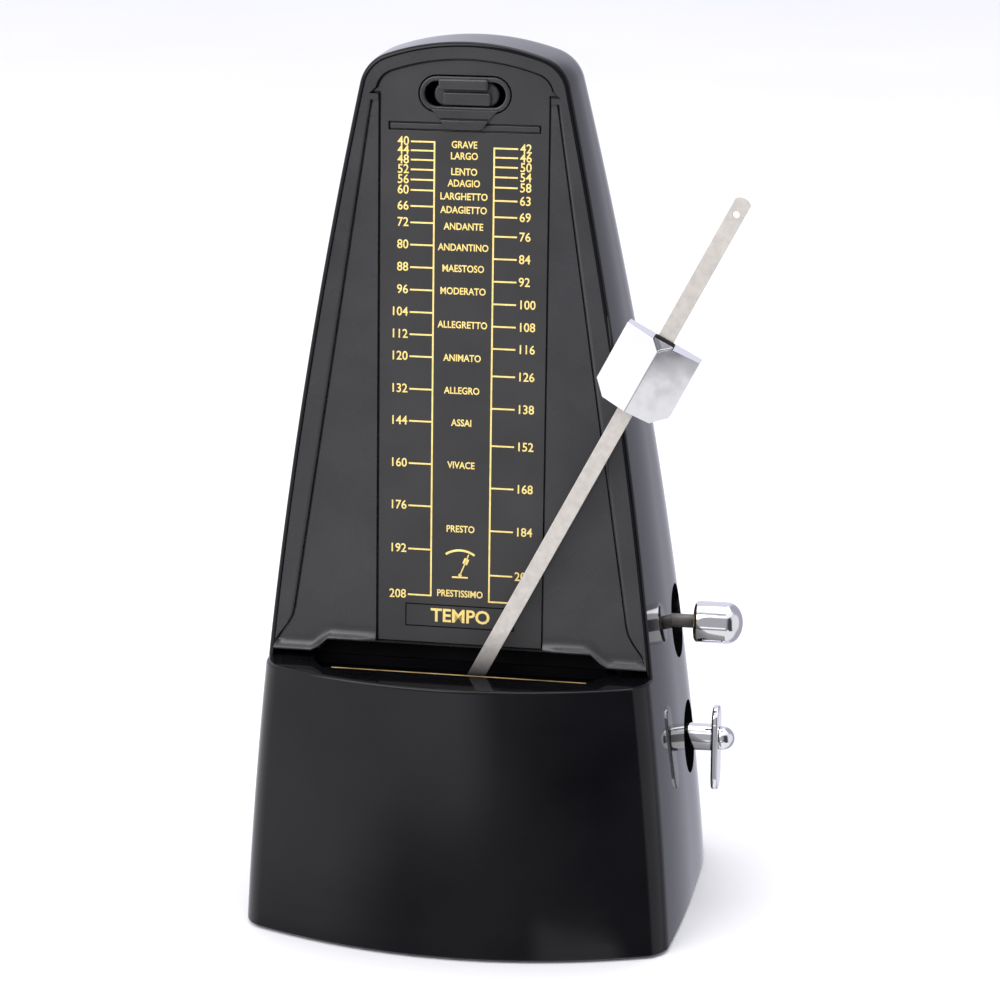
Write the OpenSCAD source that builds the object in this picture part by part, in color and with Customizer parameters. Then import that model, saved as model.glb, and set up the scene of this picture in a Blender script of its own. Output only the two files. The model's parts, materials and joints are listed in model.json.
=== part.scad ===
// Wind-up pyramid metronome with its front cover taken off.
// X points to the right of somebody facing it, Y to the back and Z up.
// Origin: centre of the base, on the surface that the feet rest on. Millimetres.

/* [Case] */
// Height of the case at its crown
case_h = 221.4; // [216:0.2:224]
// Half width of the case between its front corners, at the bottom
base_half_w = 53.35; // [50:0.05:54]
// Half depth of the case at the bottom
base_half_d = 50; // [49:0.5:52]
// Height of the ledge in front of the pendulum slot
ledge_z = 69.3; // [68:0.1:70]
// Thickness of the case walls
wall = 2.5; // [2:0.1:3]
// Width of the rim that borders the front frame
rim_w = 1.2; // [1:0.1:1.6]
// Backward lean of the front frame, degrees
lean = 3.4; // [3:0.1:4]

/* [Pendulum] */
// Swing of the rod to the right of upright, degrees
swing = 27.7; // [0:0.1:30]
// Distance from the pivot to the tip of the rod
rod_tip_r = 146; // [144:0.5:146]
// Distance from the pivot to the middle of the sliding weight
weight_r = 98; // [90:0.5:100]
// Width of the flat rod
rod_w = 4; // [3.6:0.1:4.2]
// Distance from the pivot to the middle of the counterweight
bob_r = 35; // [34:0.5:36]

/* [Drive] */
// Teeth of the great wheel on the mainspring barrel
great_teeth = 72; // [72]
// Teeth of the pinion that it drives
second_pinion_teeth = 12; // [12]
// Teeth of the second wheel
second_teeth = 60; // [60]
// Teeth of the pinion on the escape arbor
escape_pinion_teeth = 10; // [10]
// Teeth of the wheel that drives the bell drum
bell_teeth = 45; // [45]
// Teeth of the long pinion on the bell drum
drum_teeth = 9; // [9]
// Distance between the five positions of the bell selector
select_step = 2.4; // [2.4]

/* [Hidden] */
$fn = 48;

// Case surfaces, as functions of the height above the table.
shell_bottom = 0.6;
frame_y0 = 34;
back_bulge = 8;
front_bulge = 12;
side_bow = 0.045;
back_power = 5;
arch_z = 205;
arch_power = 2.5;
frame_slope = tan(lean);
function half_w(z) = base_half_w - 0.0535 * z - 0.00037 * z * z;
function frame_y(z) = -frame_y0 + frame_slope * z;
function base_y(z) = front_bulge - base_half_d + 0.018 * z;
function side_front_y(z) = front_bulge - base_half_d + 0.09 * z;
function side_back_y(z) = base_half_d - back_bulge - 0.2 * z;
function mid_y(z) = (side_front_y(z) + side_back_y(z)) / 2;
function half_d(z) = (side_back_y(z) - side_front_y(z)) / 2;
function back_y(z) = side_back_y(z) + back_bulge * half_w(z) / base_half_w;
function side_x(y, z) =
    half_w(z) + side_bow * half_d(z) * (1 - pow((y - mid_y(z)) / half_d(z), 2));
function widest_x(z) = side_x(mid_y(z), z);

// Right half of a level section: front, bowed side, round back corner and back.
// The outline is moved in by t, and its front is at front_y with a bulge.
function right_half(z, front_y, bulge, t) =
    let(corner_x = side_x(front_y, z) - t)
    concat(
        [for (i = [0:4]) [corner_x * i / 5, front_y + t - bulge * (1 - pow(i / 5, 2))]],
        [for (i = [0.3:1:5.3])
            let(y = front_y + t + (mid_y(z) - front_y - t) * i / 6) [side_x(y, z) - t, y]],
        [for (a = [12:13:90])
            [(widest_x(z) - t) * pow(cos(a), 2 / back_power),
             mid_y(z) + (back_y(z) - t - mid_y(z)) * pow(sin(a), 2 / back_power)]]);
function mirrored(points) = [for (i = [len(points) - 1:-1:1]) [-points[i][0], points[i][1]]];
function section(z, front_y, bulge, t) =
    let(half = right_half(z, front_y, bulge, t))
    concat(half, [[0, back_y(z) - t]], mirrored(half));
// The front edge of the whole outline: upright to the ledge, then leaning back
// above it, where the front cover would be.
cover_slope = 0.085;
function outline_front(z) =
    base_y(min(z, ledge_z)) + cover_slope * max(0, z - ledge_z);
function outline_bulge(z) =
    front_bulge * half_w(z) / base_half_w
    * (1 - 0.8 * max(0, z - ledge_z) / (arch_z - ledge_z));
function outline_section(z, t) = section(z, outline_front(z), outline_bulge(z), t);

// Arch of the crown, from one side to the other.
function arch(half_width, top, power = arch_power) =
    [for (a = [0:10:180])
        [half_width * sign(cos(a)) * pow(abs(cos(a)), 2 / power),
         arch_z + (top - arch_z) * pow(sin(a), 2 / power)]];

// Whole outline of the case as a solid, moved in by t.
crown_stations = [[-2, 1, 0.2], [15, 1, 0], [21, 0.93, 0.3], [25.5, 0.72, 1.5]];
module outline_solid(t, bottom) {
    levels = concat([for (i = [0:3]) bottom + (ledge_z - bottom) * i / 3],
                    [for (i = [1:4]) ledge_z + (arch_z - ledge_z) * i / 4]);
    hull() {
        for (z = levels)
            translate([0, 0, z])
                linear_extrude(0.01)
                    polygon(outline_section(z, t));
        for (c = crown_stations)
            translate([0, frame_y(arch_z + 8) + t + c[0] * (1 - 2 * t / 25), 0])
                rotate([90, 0, 0])
                    linear_extrude(0.01)
                        polygon(arch((widest_x(arch_z) - t) * c[1], case_h - t - c[2]));
    }
}

// Space in front of the frame and above the ledge, both moved in by t.
module cover_space(t) {
    intersection() {
        on_front(0, -t)
            translate([-100, 0, 0])
                cube([200, 300, 100]);
        translate([-100, -100, ledge_z - t])
            cube([200, 200, 300]);
    }
}

// Places children on the leaning front face: x across, y up the face, z outwards.
module on_front(s = 0, n = 0) {
    translate([0, -frame_y0, 0])
        rotate([90 - lean, 0, 0])
            translate([0, s, n])
                children();
}

// Places children on an axis along X that passes through p = [y, z].
module along_x(x, p) {
    translate([x, p[0], p[1]])
        rotate([90, 0, 90])
            children();
}

module ring(outer_r, inner_r, h) {
    difference() {
        cylinder(r = outer_r, h = h);
        translate([0, 0, -1])
            cylinder(r = inner_r, h = h + 2);
    }
}

module screw(head_r, head_h, shank_r, shank_l) {
    difference() {
        cylinder(r = head_r, h = head_h);
        translate([-head_r, -0.25, head_h - 0.4])
            cube([2 * head_r, 0.5, 1]);
    }
    translate([0, 0, -shank_l])
        cylinder(r = shank_r, h = shank_l);
}

// Front face outline, inset from the case's front edge.
face_low_z = ledge_z + 0.3;
function face_side(inset) =
    [for (i = [0:4])
        let(z = face_low_z + (arch_z - face_low_z) * i / 5)
            [side_x(frame_y(z), z) - inset, z]];
function face_outline(inset) =
    let(side = face_side(inset))
    concat(side, arch(side_x(frame_y(arch_z), arch_z) - inset, case_h - inset * 0.8),
           [for (i = [4:-1:0]) [-side[i][0], side[i][1]]]);

// Movement layout: axes along X are given as [y, z].
running = 0.05;
left_plate_x = -19.5;
right_plate_x = 36.5;
plate_t = 1.5;
plate_foot_z = 15.5;
inner_left = left_plate_x + plate_t;
key_axis = [12, 40];
selector_axis = [9, 72];
second_axis = [-2.5, 57];
hammer_axis = [25, 70];
pivot_s = 58.4;
pivot_n = 5;
pivot_y = -frame_y0 + pivot_s * sin(lean) - pivot_n * cos(lean);
pivot_z = pivot_s * cos(lean) + pivot_n * sin(lean);
escape_y = -14.5;
escape_axis = [escape_y, pivot_z - (escape_y - pivot_y) * frame_slope];
great_module = 2 * norm(second_axis - key_axis) / (great_teeth + second_pinion_teeth);
second_module = 2 * norm(second_axis - escape_axis) / (second_teeth + escape_pinion_teeth);
bell_module = 2 * norm(second_axis - selector_axis) / (bell_teeth + drum_teeth);
winding_r = 2.5;
winding_pivot_r = 1.6;
fine_arbor_r = 1;
selector_r = 1.75;
hammer_arbor_r = 1.25;
bush_wall = 1.4;
bush_h = 2.1;
left_holes = [[key_axis, winding_pivot_r], [second_axis, fine_arbor_r],
              [escape_axis, fine_arbor_r], [selector_axis, selector_r],
              [hammer_axis, hammer_arbor_r]];
right_holes = [[key_axis, winding_r], [second_axis, fine_arbor_r],
               [selector_axis, selector_r], [hammer_axis, hammer_arbor_r]];
pillar_r = 2.2;
pillar_end_r = 1.2;
cock_pillar = [-10, 34];
pillar_axes = [[-17, 79], [19, 79.5], [24, 20], [-17, 22], cock_pillar];

// Direction of b seen from a, in degrees, in the YZ plane.
function bearing(a, b) = atan2(b[1] - a[1], b[0] - a[0]);
// Angle of a gear that meshes with a driver of driver_teeth set at driver_angle.
function meshed(driver_axis, driver_teeth, driver_angle, axis, teeth) =
    bearing(driver_axis, axis) + 180 + 180 / teeth
    - (driver_angle - bearing(driver_axis, axis)) * driver_teeth / teeth;
second_angle = meshed(key_axis, great_teeth, 0, second_axis, second_pinion_teeth);
escape_angle = meshed(second_axis, second_teeth, second_angle, escape_axis,
                      escape_pinion_teeth);
drum_angle = meshed(second_axis, bell_teeth, second_angle, selector_axis, drum_teeth);

// Flat outline of a spur gear with straight-flanked teeth and some backlash.
module gear_outline(teeth, m, angle) {
    pitch_r = teeth * m / 2;
    half_tooth = 90 / teeth * 0.72;
    root_half = half_tooth * 1.3;
    tip_half = half_tooth * 0.42;
    polygon([for (i = [0:teeth - 1])
        for (c = [[pitch_r - m, -root_half], [pitch_r, -half_tooth],
                  [pitch_r + 0.75 * m, -tip_half], [pitch_r + 0.75 * m, tip_half],
                  [pitch_r, half_tooth], [pitch_r - m, root_half]])
            let(a = angle + 360 * i / teeth + c[1])
                c[0] * [cos(a), sin(a)]]);
}

module spur_gear(teeth, m, angle, h, bore_r) {
    difference() {
        linear_extrude(h)
            gear_outline(teeth, m, angle);
        translate([0, 0, -1])
            cylinder(r = bore_r, h = h + 2);
    }
}

// Round windows that leave spokes in a wheel.
module windows(count, at_r, r, h) {
    for (i = [0:count - 1])
        rotate(360 * (i + 0.5) / count)
            translate([at_r, 0, -1])
                cylinder(r = r, h = h + 2);
}

// ---- Case ----

slot_half_w = 32.4;
slot_front_y = -36.4;
slot_back_y = -26;
opening_r = 9.4;
post_h = 19;
case_posts = [[-45.6, -30], [45.6, -30], [-46.4, 30], [46.4, 30]];
post_z = 4.3;

module main_shell() {
    color([0.06, 0.06, 0.07]) {
        difference() {
            outline_solid(0, shell_bottom);
            cover_space(0);
            difference() {
                outline_solid(wall, shell_bottom - 2);
                cover_space(wall);
            }
            on_front(0, -wall - 2)
                linear_extrude(wall + 6)
                    polygon(face_outline(rim_w));
            translate([-slot_half_w, slot_front_y, ledge_z - 10])
                cube([2 * slot_half_w, slot_back_y - slot_front_y, 12]);
            for (p = [key_axis, selector_axis])
                along_x(40, p)
                    cylinder(r = opening_r, h = 20);
        }
        for (p = case_posts)
            translate([p[0], p[1], post_z])
                difference() {
                    cylinder(r = 4.2, h = post_h);
                    translate([0, 0, -1])
                        cylinder(r = 1.1, h = 14);
                }
    }
}

frame_t = 3.2;
frame_sink = 0.25;
frame_gap = 0.15;
pocket_depth = 2.2;
plate_gap = 0.35;
plate_half_w = 20.4;
plate_low = 74.9;
plate_high = 207.4;
head_inset = 4.4;
head_half_w = 22.6;
lip_z = 73.6;
groove_w = 0.6;
groove_depth = 0.7;

// Pocket of the scale plate: a strip with an arched head.
module scale_outline(grow) {
    translate([-plate_half_w - grow, plate_low - grow])
        square([2 * (plate_half_w + grow), plate_high - plate_low + 2]);
    intersection() {
        polygon(arch(head_half_w + grow, case_h - head_inset + grow));
        translate([-50, plate_high - grow])
            square([100, 50]);
    }
}

// Line that borders each side wing of the frame.
module wing_groove() {
    polygon([[22, plate_high], [22 + groove_w, plate_high],
             [43 + groove_w, lip_z - 5], [43, lip_z - 5]]);
}

module front_frame() {
    color([0.09, 0.09, 0.1])
        difference() {
            on_front(0, -frame_t - frame_sink)
                linear_extrude(frame_t)
                    difference() {
                        polygon(face_outline(rim_w + frame_gap));
                        polygon([[-36.2, 60], [-36.2, ledge_z + 1.4], [-33.3, lip_z],
                                 [33.3, lip_z], [36.2, ledge_z + 1.4], [36.2, 60]]);
                    }
            on_front(0, -pocket_depth - frame_sink)
                linear_extrude(pocket_depth + 1)
                    scale_outline(plate_gap);
            on_front(0, -groove_depth - frame_sink)
                linear_extrude(groove_depth + 1)
                    wing_groove();
            on_front(0, -groove_depth - frame_sink)
                mirror([1, 0, 0])
                    linear_extrude(groove_depth + 1)
                        wing_groove();
            on_front(latch_s, -frame_t - 1)
                linear_extrude(frame_t + 2)
                    stadium(latch_half_w + 0.8, latch_half_h + 0.8);
        }
}

scale_t = 1.3;
latch_s = 209.6;
latch_half_w = 11;
latch_half_h = 3.9;
slit_half_w = 18.5;
slit_low = 200.6;
slit_high = 202.6;

module stadium(half_width, half_height) {
    straight = half_width - half_height;
    translate([-straight, -half_height])
        square([2 * straight, 2 * half_height]);
    for (side = [-1, 1])
        translate([side * straight, 0])
            circle(r = half_height);
}

module scale_plate() {
    color([0.13, 0.13, 0.14])
        on_front(0, -pocket_depth - frame_sink)
            linear_extrude(scale_t)
                difference() {
                    scale_outline(0);
                    translate([0, latch_s])
                        stadium(latch_half_w, latch_half_h);
                    translate([-slit_half_w, slit_low])
                        square([2 * slit_half_w, slit_high - slit_low]);
                    plate_notches();
                }
}

// Small notches where the arch of the plate meets its straight sides.
module plate_notches() {
    for (side = [-1, 1])
        translate([side * 21.6 - 0.8, plate_high + 0.9])
            square([1.6, 0.8]);
}

// Clip that holds the tip of the rod when the metronome is put away.
clip_n = -pocket_depth - frame_sink;
clip_tab_h = 4;
module rod_clip() {
    color([0.07, 0.07, 0.08]) {
        on_front(latch_s, clip_n - 0.7)
            linear_extrude(1.2)
                stadium(latch_half_w - 0.1, latch_half_h - 0.1);
        on_front(latch_s, clip_n + 0.4)
            linear_extrude(1.3)
                translate([-5.4, -2.6])
                    square([10.8, 4]);
        on_front(latch_s, clip_n + 0.4)
            linear_extrude(2.6)
                translate([-5.6, 1.5])
                    square([11.2, 1.6]);
        on_front(0, clip_n + 0.4)
            linear_extrude(clip_tab_h)
                translate([-6.6, 205.8])
                    square([13.2, 1]);
        on_front(0, clip_n + scale_t)
            linear_extrude(clip_tab_h + 0.4 - scale_t)
                polygon([[-6.6, 206.8], [-6.6, 205.3], [-4.3, 202.9], [4.3, 202.9],
                         [6.6, 205.3], [6.6, 206.8]]);
    }
}

base_plate_z = 1.6;
base_plate_t = 2.6;
foot_r = 5;
foot_sink = 0.7;
feet_xy = [[0, 0], [-36, -30], [36, -30], [-35, 32], [35, 32]];
plate_feet = [[-25, -12], [-25, 18], [42.5, -12], [42.5, 18]];
foot_post_r = 3.6;

module base_plate() {
    color([0.08, 0.08, 0.09])
        difference() {
            union() {
                translate([0, 0, base_plate_z])
                    linear_extrude(base_plate_t)
                        polygon(outline_section(base_plate_z + base_plate_t, wall + 0.25));
                for (p = plate_feet)
                    translate([p[0], p[1], base_plate_z])
                        cylinder(r = foot_post_r, h = plate_foot_z - base_plate_z);
            }
            for (p = case_posts)
                translate([p[0], p[1], 0]) {
                    cylinder(r = 1.5, h = 10);
                    cylinder(r = 2.9, h = base_plate_z + 1.5);
                }
            for (p = plate_feet)
                translate([p[0], p[1], plate_foot_z - 9])
                    cylinder(r = 1.1, h = 10);
            for (p = feet_xy)
                translate([p[0], p[1], 0])
                    cylinder(r = foot_r, h = base_plate_z + foot_sink);
        }
}

module base_screws() {
    color("silver")
        for (p = case_posts)
            translate([p[0], p[1], base_plate_z + 1.5])
                mirror([0, 0, 1])
                    screw(2.6, 1.3, 1.05, 10);
}

module rubber_feet() {
    color([0.15, 0.15, 0.15])
        for (p = feet_xy)
            translate([p[0], p[1], 0])
                cylinder(r = foot_r, h = base_plate_z + foot_sink);
}

// ---- Movement frame ----

plate_outline = [[-22, plate_foot_z], [28, plate_foot_z], [30, 30], [29.5, 66], [28, 74],
                 [23, 81], [18, 84], [-18, 84], [-22, 80]];

module movement_plate(x, holes, foot_side) {
    difference() {
        union() {
            along_x(x, [0, 0])
                linear_extrude(plate_t)
                    polygon(plate_outline);
            translate([foot_side > 0 ? x + plate_t : x - 8.5, -20, plate_foot_z])
                cube([8.5, 44, plate_t]);
        }
        for (h = holes)
            along_x(x - 1, h[0])
                cylinder(r = h[1] + bush_wall, h = plate_t + 2);
        for (p = pillar_axes)
            along_x(x - 1, p)
                cylinder(r = pillar_end_r, h = plate_t + 2);
        for (p = plate_feet)
            translate([p[0], p[1], plate_foot_z - 1])
                cylinder(r = 1.3, h = plate_t + 2);
        if (foot_side < 0)
            left_plate_extras(x - 1, plate_t + 2);
        if (foot_side > 0)
            along_x(x - 1, click_axis)
                cylinder(r = click_screw_r, h = plate_t + 2);
    }
}

module left_plate_extras(x, h) {
    for (p = concat(standoffs, [bell_axis, detent_foot]))
        along_x(x, p)
            cylinder(r = 0.9, h = h);
}

module left_plate() {
    color([0.8, 0.66, 0.32])
        movement_plate(left_plate_x, left_holes, -1);
}

module right_plate() {
    color([0.8, 0.66, 0.32])
        movement_plate(right_plate_x, right_holes, 1);
}

module plate_screws() {
    color("silver")
        for (p = plate_feet)
            translate([p[0], p[1], plate_foot_z + plate_t])
                screw(2.3, 1.4, 1.05, 8);
}

module pillars() {
    color([0.75, 0.75, 0.72])
        for (p = pillar_axes) {
            along_x(inner_left, p)
                cylinder(r = pillar_r, h = right_plate_x - inner_left);
            along_x(left_plate_x - 1.8, p)
                cylinder(r = pillar_end_r, h = plate_t + 1.8);
            along_x(right_plate_x, p)
                cylinder(r = pillar_end_r, h = plate_t + 1.8);
        }
}

module pillar_nuts() {
    color([0.7, 0.7, 0.68])
        for (p = pillar_axes)
            for (x = [left_plate_x - 1.5, right_plate_x + plate_t])
                along_x(x, p)
                    difference() {
                        cylinder(r = 2.5, h = 1.5, $fn = 6);
                        translate([0, 0, -1])
                            cylinder(r = pillar_end_r, h = 4);
                    }
}

module left_bushes() {
    color([0.85, 0.7, 0.35])
        for (h = left_holes)
            along_x(left_plate_x, h[0])
                ring(h[1] + bush_wall, h[1] + running, bush_h);
}

module right_bushes() {
    color([0.85, 0.7, 0.35])
        for (h = right_holes)
            along_x(right_plate_x + plate_t - bush_h, h[0])
                ring(h[1] + bush_wall, h[1] + running, bush_h);
}

bridge_t = 1.5;
bridge_front_y = -22 - bridge_t;
bridge_fix = [[left_plate_x + plate_t / 2, 54], [left_plate_x + plate_t / 2, 62],
              [right_plate_x + plate_t / 2, 54], [right_plate_x + plate_t / 2, 62]];

// Tilted bore that the pendulum arbor runs in.
module pendulum_bore() {
    on_front(pivot_s, pivot_n - 40)
        cylinder(r = fine_arbor_r + running, h = 60);
}

module front_bridge() {
    color([0.8, 0.66, 0.32])
        difference() {
            translate([left_plate_x, bridge_front_y, 51])
                cube([right_plate_x + plate_t - left_plate_x, bridge_t, 14]);
            pendulum_bore();
            for (p = bridge_fix)
                translate([p[0], bridge_front_y - 1, p[1]])
                    rotate([-90, 0, 0])
                        cylinder(r = 0.55, h = bridge_t + 2);
        }
}

module bridge_screws() {
    color("silver")
        for (p = bridge_fix)
            translate([p[0], bridge_front_y, p[1]])
                rotate([90, 0, 0])
                    screw(1.3, 0.8, 0.5, bridge_t);
}

cock_y = -6.9;
module rear_cock() {
    color([0.8, 0.66, 0.32])
        difference() {
            union() {
                translate([-3, cock_y, 31])
                    cube([6, 1.5, 29.5]);
                translate([-3, -13, 31])
                    cube([6, 6.5, 6.4]);
            }
            pendulum_bore();
            along_x(-10, cock_pillar)
                cylinder(r = pillar_r, h = 20);
        }
}

standoffs = [[-19.5, 50.3], [-19.5, 64.3]];
escape_bridge_x = -13.4;
module escape_bridge() {
    color([0.8, 0.66, 0.32])
        difference() {
            union() {
                along_x(escape_bridge_x, [0, 0])
                    linear_extrude(1.2)
                        polygon([[-21.5, 48.5], [-17.5, 48.5], [-12.2, 54.6], [-12.2, 60],
                                 [-17.5, 66.2], [-21.5, 66.2]]);
                for (p = standoffs)
                    along_x(inner_left, p)
                        cylinder(r = 1.6, h = escape_bridge_x - inner_left + 0.2);
            }
            along_x(-16, escape_axis)
                cylinder(r = fine_arbor_r + running, h = 6);
            for (p = standoffs)
                along_x(inner_left - 1, p)
                    cylinder(r = 0.8, h = 4);
        }
}

module escape_bridge_screws() {
    color("silver")
        for (p = standoffs)
            along_x(left_plate_x, p)
                mirror([0, 0, 1])
                    screw(1.6, 0.9, 0.75, 4);
}

// ---- Winding ----

sleeve_x = 41.2;
wing_x = 58.2;
wing_t = 1.7;
cap_r = 3.1;
stud_r = 1.5;
arbor_end_x = 52;
hub_x = [14.2, 24.4];

module winding_arbor() {
    color([0.75, 0.75, 0.74]) {
        along_x(inner_left + 1, key_axis)
            cylinder(r = winding_r, h = sleeve_x - inner_left - 1);
        along_x(left_plate_x - 0.8, key_axis)
            cylinder(r = winding_pivot_r, h = 4);
        along_x(hub_x[0], key_axis)
            cylinder(r = 3.2, h = hub_x[1] - hub_x[0]);
        along_x(sleeve_x - 1, key_axis)
            cylinder(r = 2, h = arbor_end_x - sleeve_x + 1);
    }
}

ratchet_x = 39;
ratchet_teeth = 18;
ratchet_r = 7.4;
module ratchet_wheel() {
    color([0.78, 0.78, 0.76])
        along_x(ratchet_x, key_axis)
            difference() {
                linear_extrude(1.6)
                    polygon([for (i = [0:ratchet_teeth - 1])
                        for (c = [[ratchet_r, 0], [ratchet_r - 1.3, 1.5]])
                            let(a = 360 * i / ratchet_teeth + c[1])
                                c[0] * [cos(a), sin(a)]]);
                translate([0, 0, -1])
                    cylinder(r = winding_r, h = 4);
            }
}

module key_sleeve() {
    color([0.85, 0.86, 0.88])
        along_x(sleeve_x, key_axis)
            difference() {
                cylinder(r = 3.5, h = wing_x - sleeve_x);
                translate([0, 0, -1])
                    cylinder(r = 2.03, h = arbor_end_x - sleeve_x + 1.3);
                cylinder(r = stud_r, h = 30);
            }
}

// Flat thumb bar, longer on one side of the shaft.
wing_up = 8.7;
wing_down = 13.9;
wing_half = 4.2;
module key_wing() {
    color([0.85, 0.86, 0.88])
        along_x(wing_x, key_axis)
            difference() {
                linear_extrude(wing_t)
                    union() {
                        translate([-wing_half, -wing_down + wing_half])
                            square([2 * wing_half, wing_up + wing_down - 2 * wing_half]);
                        translate([0, wing_up - wing_half])
                            circle(r = wing_half);
                        translate([0, wing_half - wing_down])
                            circle(r = wing_half);
                    }
                translate([0, 0, -1])
                    cylinder(r = stud_r, h = 5);
            }
}

module key_cap() {
    color([0.85, 0.86, 0.88])
        along_x(wing_x + wing_t, key_axis) {
            cylinder(r = cap_r, h = 0.8);
            translate([0, 0, 0.8])
                intersection() {
                    sphere(r = cap_r);
                    cylinder(r = 4, h = 4);
                }
            translate([0, 0, -5])
                cylinder(r = stud_r, h = 5.2);
        }
}

click_axis = [25, 50.5];
click_screw_r = 1.2;
click_tip = key_axis + (ratchet_r + 0.4) * [cos(96), sin(96)];
module click() {
    color([0.78, 0.78, 0.76])
        difference() {
            union() {
                along_x(ratchet_x, click_axis)
                    cylinder(r = 2.6, h = 1.6);
                along_x(ratchet_x, [0, 0])
                    linear_extrude(1.6)
                        polygon([click_tip, click_axis + [0, -2.2], click_axis + [0, 2.2],
                                 click_tip + [0.6, 2.6]]);
            }
            along_x(ratchet_x - 1, click_axis)
                cylinder(r = click_screw_r + running, h = 4);
        }
}

module click_screw() {
    color("silver")
        along_x(ratchet_x + 1.8, click_axis) {
            screw(2.1, 1.1, click_screw_r, 4.6);
            translate([0, 0, -2.6])
                ring(2.1, click_screw_r, 0.6);
        }
}

module click_spring() {
    color([0.6, 0.62, 0.66]) {
        along_x(right_plate_x + plate_t, [27, 59.5])
            cylinder(r = 1.4, h = 3);
        along_x(ratchet_x + 0.2, [0, 0])
            linear_extrude(1)
                polygon([[27, 59], [27, 59.5], [17, 53.9], [17.2, 53.4]]);
    }
}

// ---- Mainspring barrel ----

barrel_x = 12.2;
barrel_h = 14;
barrel_r = 15.8;

module great_wheel() {
    color([0.82, 0.68, 0.33])
        along_x(barrel_x - 1.4, key_axis)
            difference() {
                spur_gear(great_teeth, great_module, 0, 1.4, winding_r + running);
                windows(5, 10.2, 3.6, 1.4);
            }
}

module barrel_drum() {
    color([0.82, 0.68, 0.33])
        along_x(barrel_x, key_axis)
            difference() {
                cylinder(r = barrel_r, h = barrel_h);
                translate([0, 0, 1.4])
                    cylinder(r = barrel_r - 1.2, h = barrel_h);
                translate([0, 0, -1])
                    cylinder(r = winding_r + running, h = 5);
            }
}

module barrel_cap() {
    color([0.82, 0.68, 0.33])
        along_x(barrel_x + barrel_h - 1.3, key_axis)
            difference() {
                cylinder(r = barrel_r - 1.2, h = 1.3);
                translate([0, 0, -1])
                    cylinder(r = winding_r + running, h = 5);
                translate([10, 0, -1])
                    cylinder(r = 1.2, h = 5);
            }
}

spring_turns = 7;
spring_in = 3.7;
spring_out = 14;
spring_t = 0.45;
function spiral(r_shift, back) =
    [for (k = [0:spring_turns * 20])
        let(i = back ? spring_turns * 20 - k : k, a = i * 18,
            r = spring_in + (spring_out - spring_in) * i / (spring_turns * 20) + r_shift)
                r * [cos(a), sin(a)]];
module mainspring() {
    color([0.45, 0.47, 0.52])
        along_x(barrel_x + 2, key_axis)
            linear_extrude(10)
                polygon(concat(spiral(0, false), spiral(spring_t, true)));
}

// ---- Second arbor ----

second_wheel_x = -16.6;
bell_wheel_x = 7;
module second_arbor() {
    color([0.75, 0.75, 0.74])
        along_x(left_plate_x - 0.7, second_axis)
            cylinder(r = fine_arbor_r, h = right_plate_x - left_plate_x + plate_t + 1.4);
}

module second_pinion() {
    color([0.75, 0.75, 0.74])
        along_x(barrel_x - 2.2, second_axis)
            spur_gear(second_pinion_teeth, great_module, second_angle, 3, fine_arbor_r);
}

module second_wheel() {
    color([0.82, 0.68, 0.33])
        along_x(second_wheel_x, second_axis)
            difference() {
                spur_gear(second_teeth, second_module, second_angle, 1.2, fine_arbor_r);
                windows(4, 5.6, 2.6, 1.2);
            }
}

module bell_wheel() {
    color([0.82, 0.68, 0.33])
        along_x(bell_wheel_x, second_axis)
            difference() {
                spur_gear(bell_teeth, bell_module, second_angle, 1.2, fine_arbor_r);
                windows(5, 9, 3.4, 1.2);
            }
}

// ---- Escape arbor ----

crown_x = -11.6;
crown_r = 6;
crown_teeth = 15;
tooth_tip_x = -3.3;

module escape_arbor() {
    color([0.75, 0.75, 0.74])
        along_x(left_plate_x - 0.7, escape_axis)
            cylinder(r = fine_arbor_r, h = crown_x + 1.4 - left_plate_x + 0.7);
}

module escape_pinion() {
    color([0.75, 0.75, 0.74])
        along_x(second_wheel_x - 0.8, escape_axis)
            spur_gear(escape_pinion_teeth, second_module, escape_angle, 2.8, fine_arbor_r);
}

// Escape wheel with its teeth parallel to the axle.
module crown_wheel() {
    tooth_h = 2.4;
    rim_h = tooth_tip_x - tooth_h - crown_x;
    color([0.82, 0.68, 0.33])
        along_x(crown_x, escape_axis) {
            ring(crown_r + 0.4, fine_arbor_r, 1.4);
            ring(crown_r + 0.4, crown_r - 0.5, rim_h);
            for (i = [0:crown_teeth - 1])
                rotate(360 * i / crown_teeth)
                    translate([crown_r + 0.4, 0, rim_h - 0.2])
                        rotate([90, 0, -90])
                            linear_extrude(0.7)
                                polygon([[-1, 0], [1, 0], [1, 0.4], [0.7, tooth_h + 0.2],
                                         [0.4, tooth_h + 0.2]]);
        }
}

// ---- Pendulum ----

// Places children in the swinging frame: y along the rod, z towards the player.
module on_pendulum(along = 0, out = 0) {
    on_front(pivot_s, pivot_n)
        rotate(-swing)
            translate([0, along, out])
                children();
}

rod_t = 1;
rod_screw_l = 0.4;
tip_arc_r = 2.8;
arbor_back = (cock_y + 1.5 - pivot_y) / cos(lean) + 0.4;
module pendulum_arbor() {
    color([0.75, 0.75, 0.74])
        on_pendulum(0, -arbor_back)
            cylinder(r = fine_arbor_r, h = arbor_back + rod_t / 2 - rod_screw_l);
}

// Two flags that the crown wheel's teeth push in turn.
pallet_reach = 2.8;
module pallets() {
    color([0.5, 0.52, 0.56])
        for (side = [-1, 1])
            let(out = (pivot_y - escape_y) / cos(lean) - side * crown_r)
                on_pendulum(0, out - 0.8)
                    difference() {
                        union() {
                            cylinder(r = 1.8, h = 1.6);
                            rotate(180 + swing + side * 42)
                                translate([0, -0.3, 0])
                                    cube([pallet_reach, 0.8, 1.6]);
                        }
                        translate([0, 0, -1])
                            cylinder(r = fine_arbor_r, h = 4);
                    }
}

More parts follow.
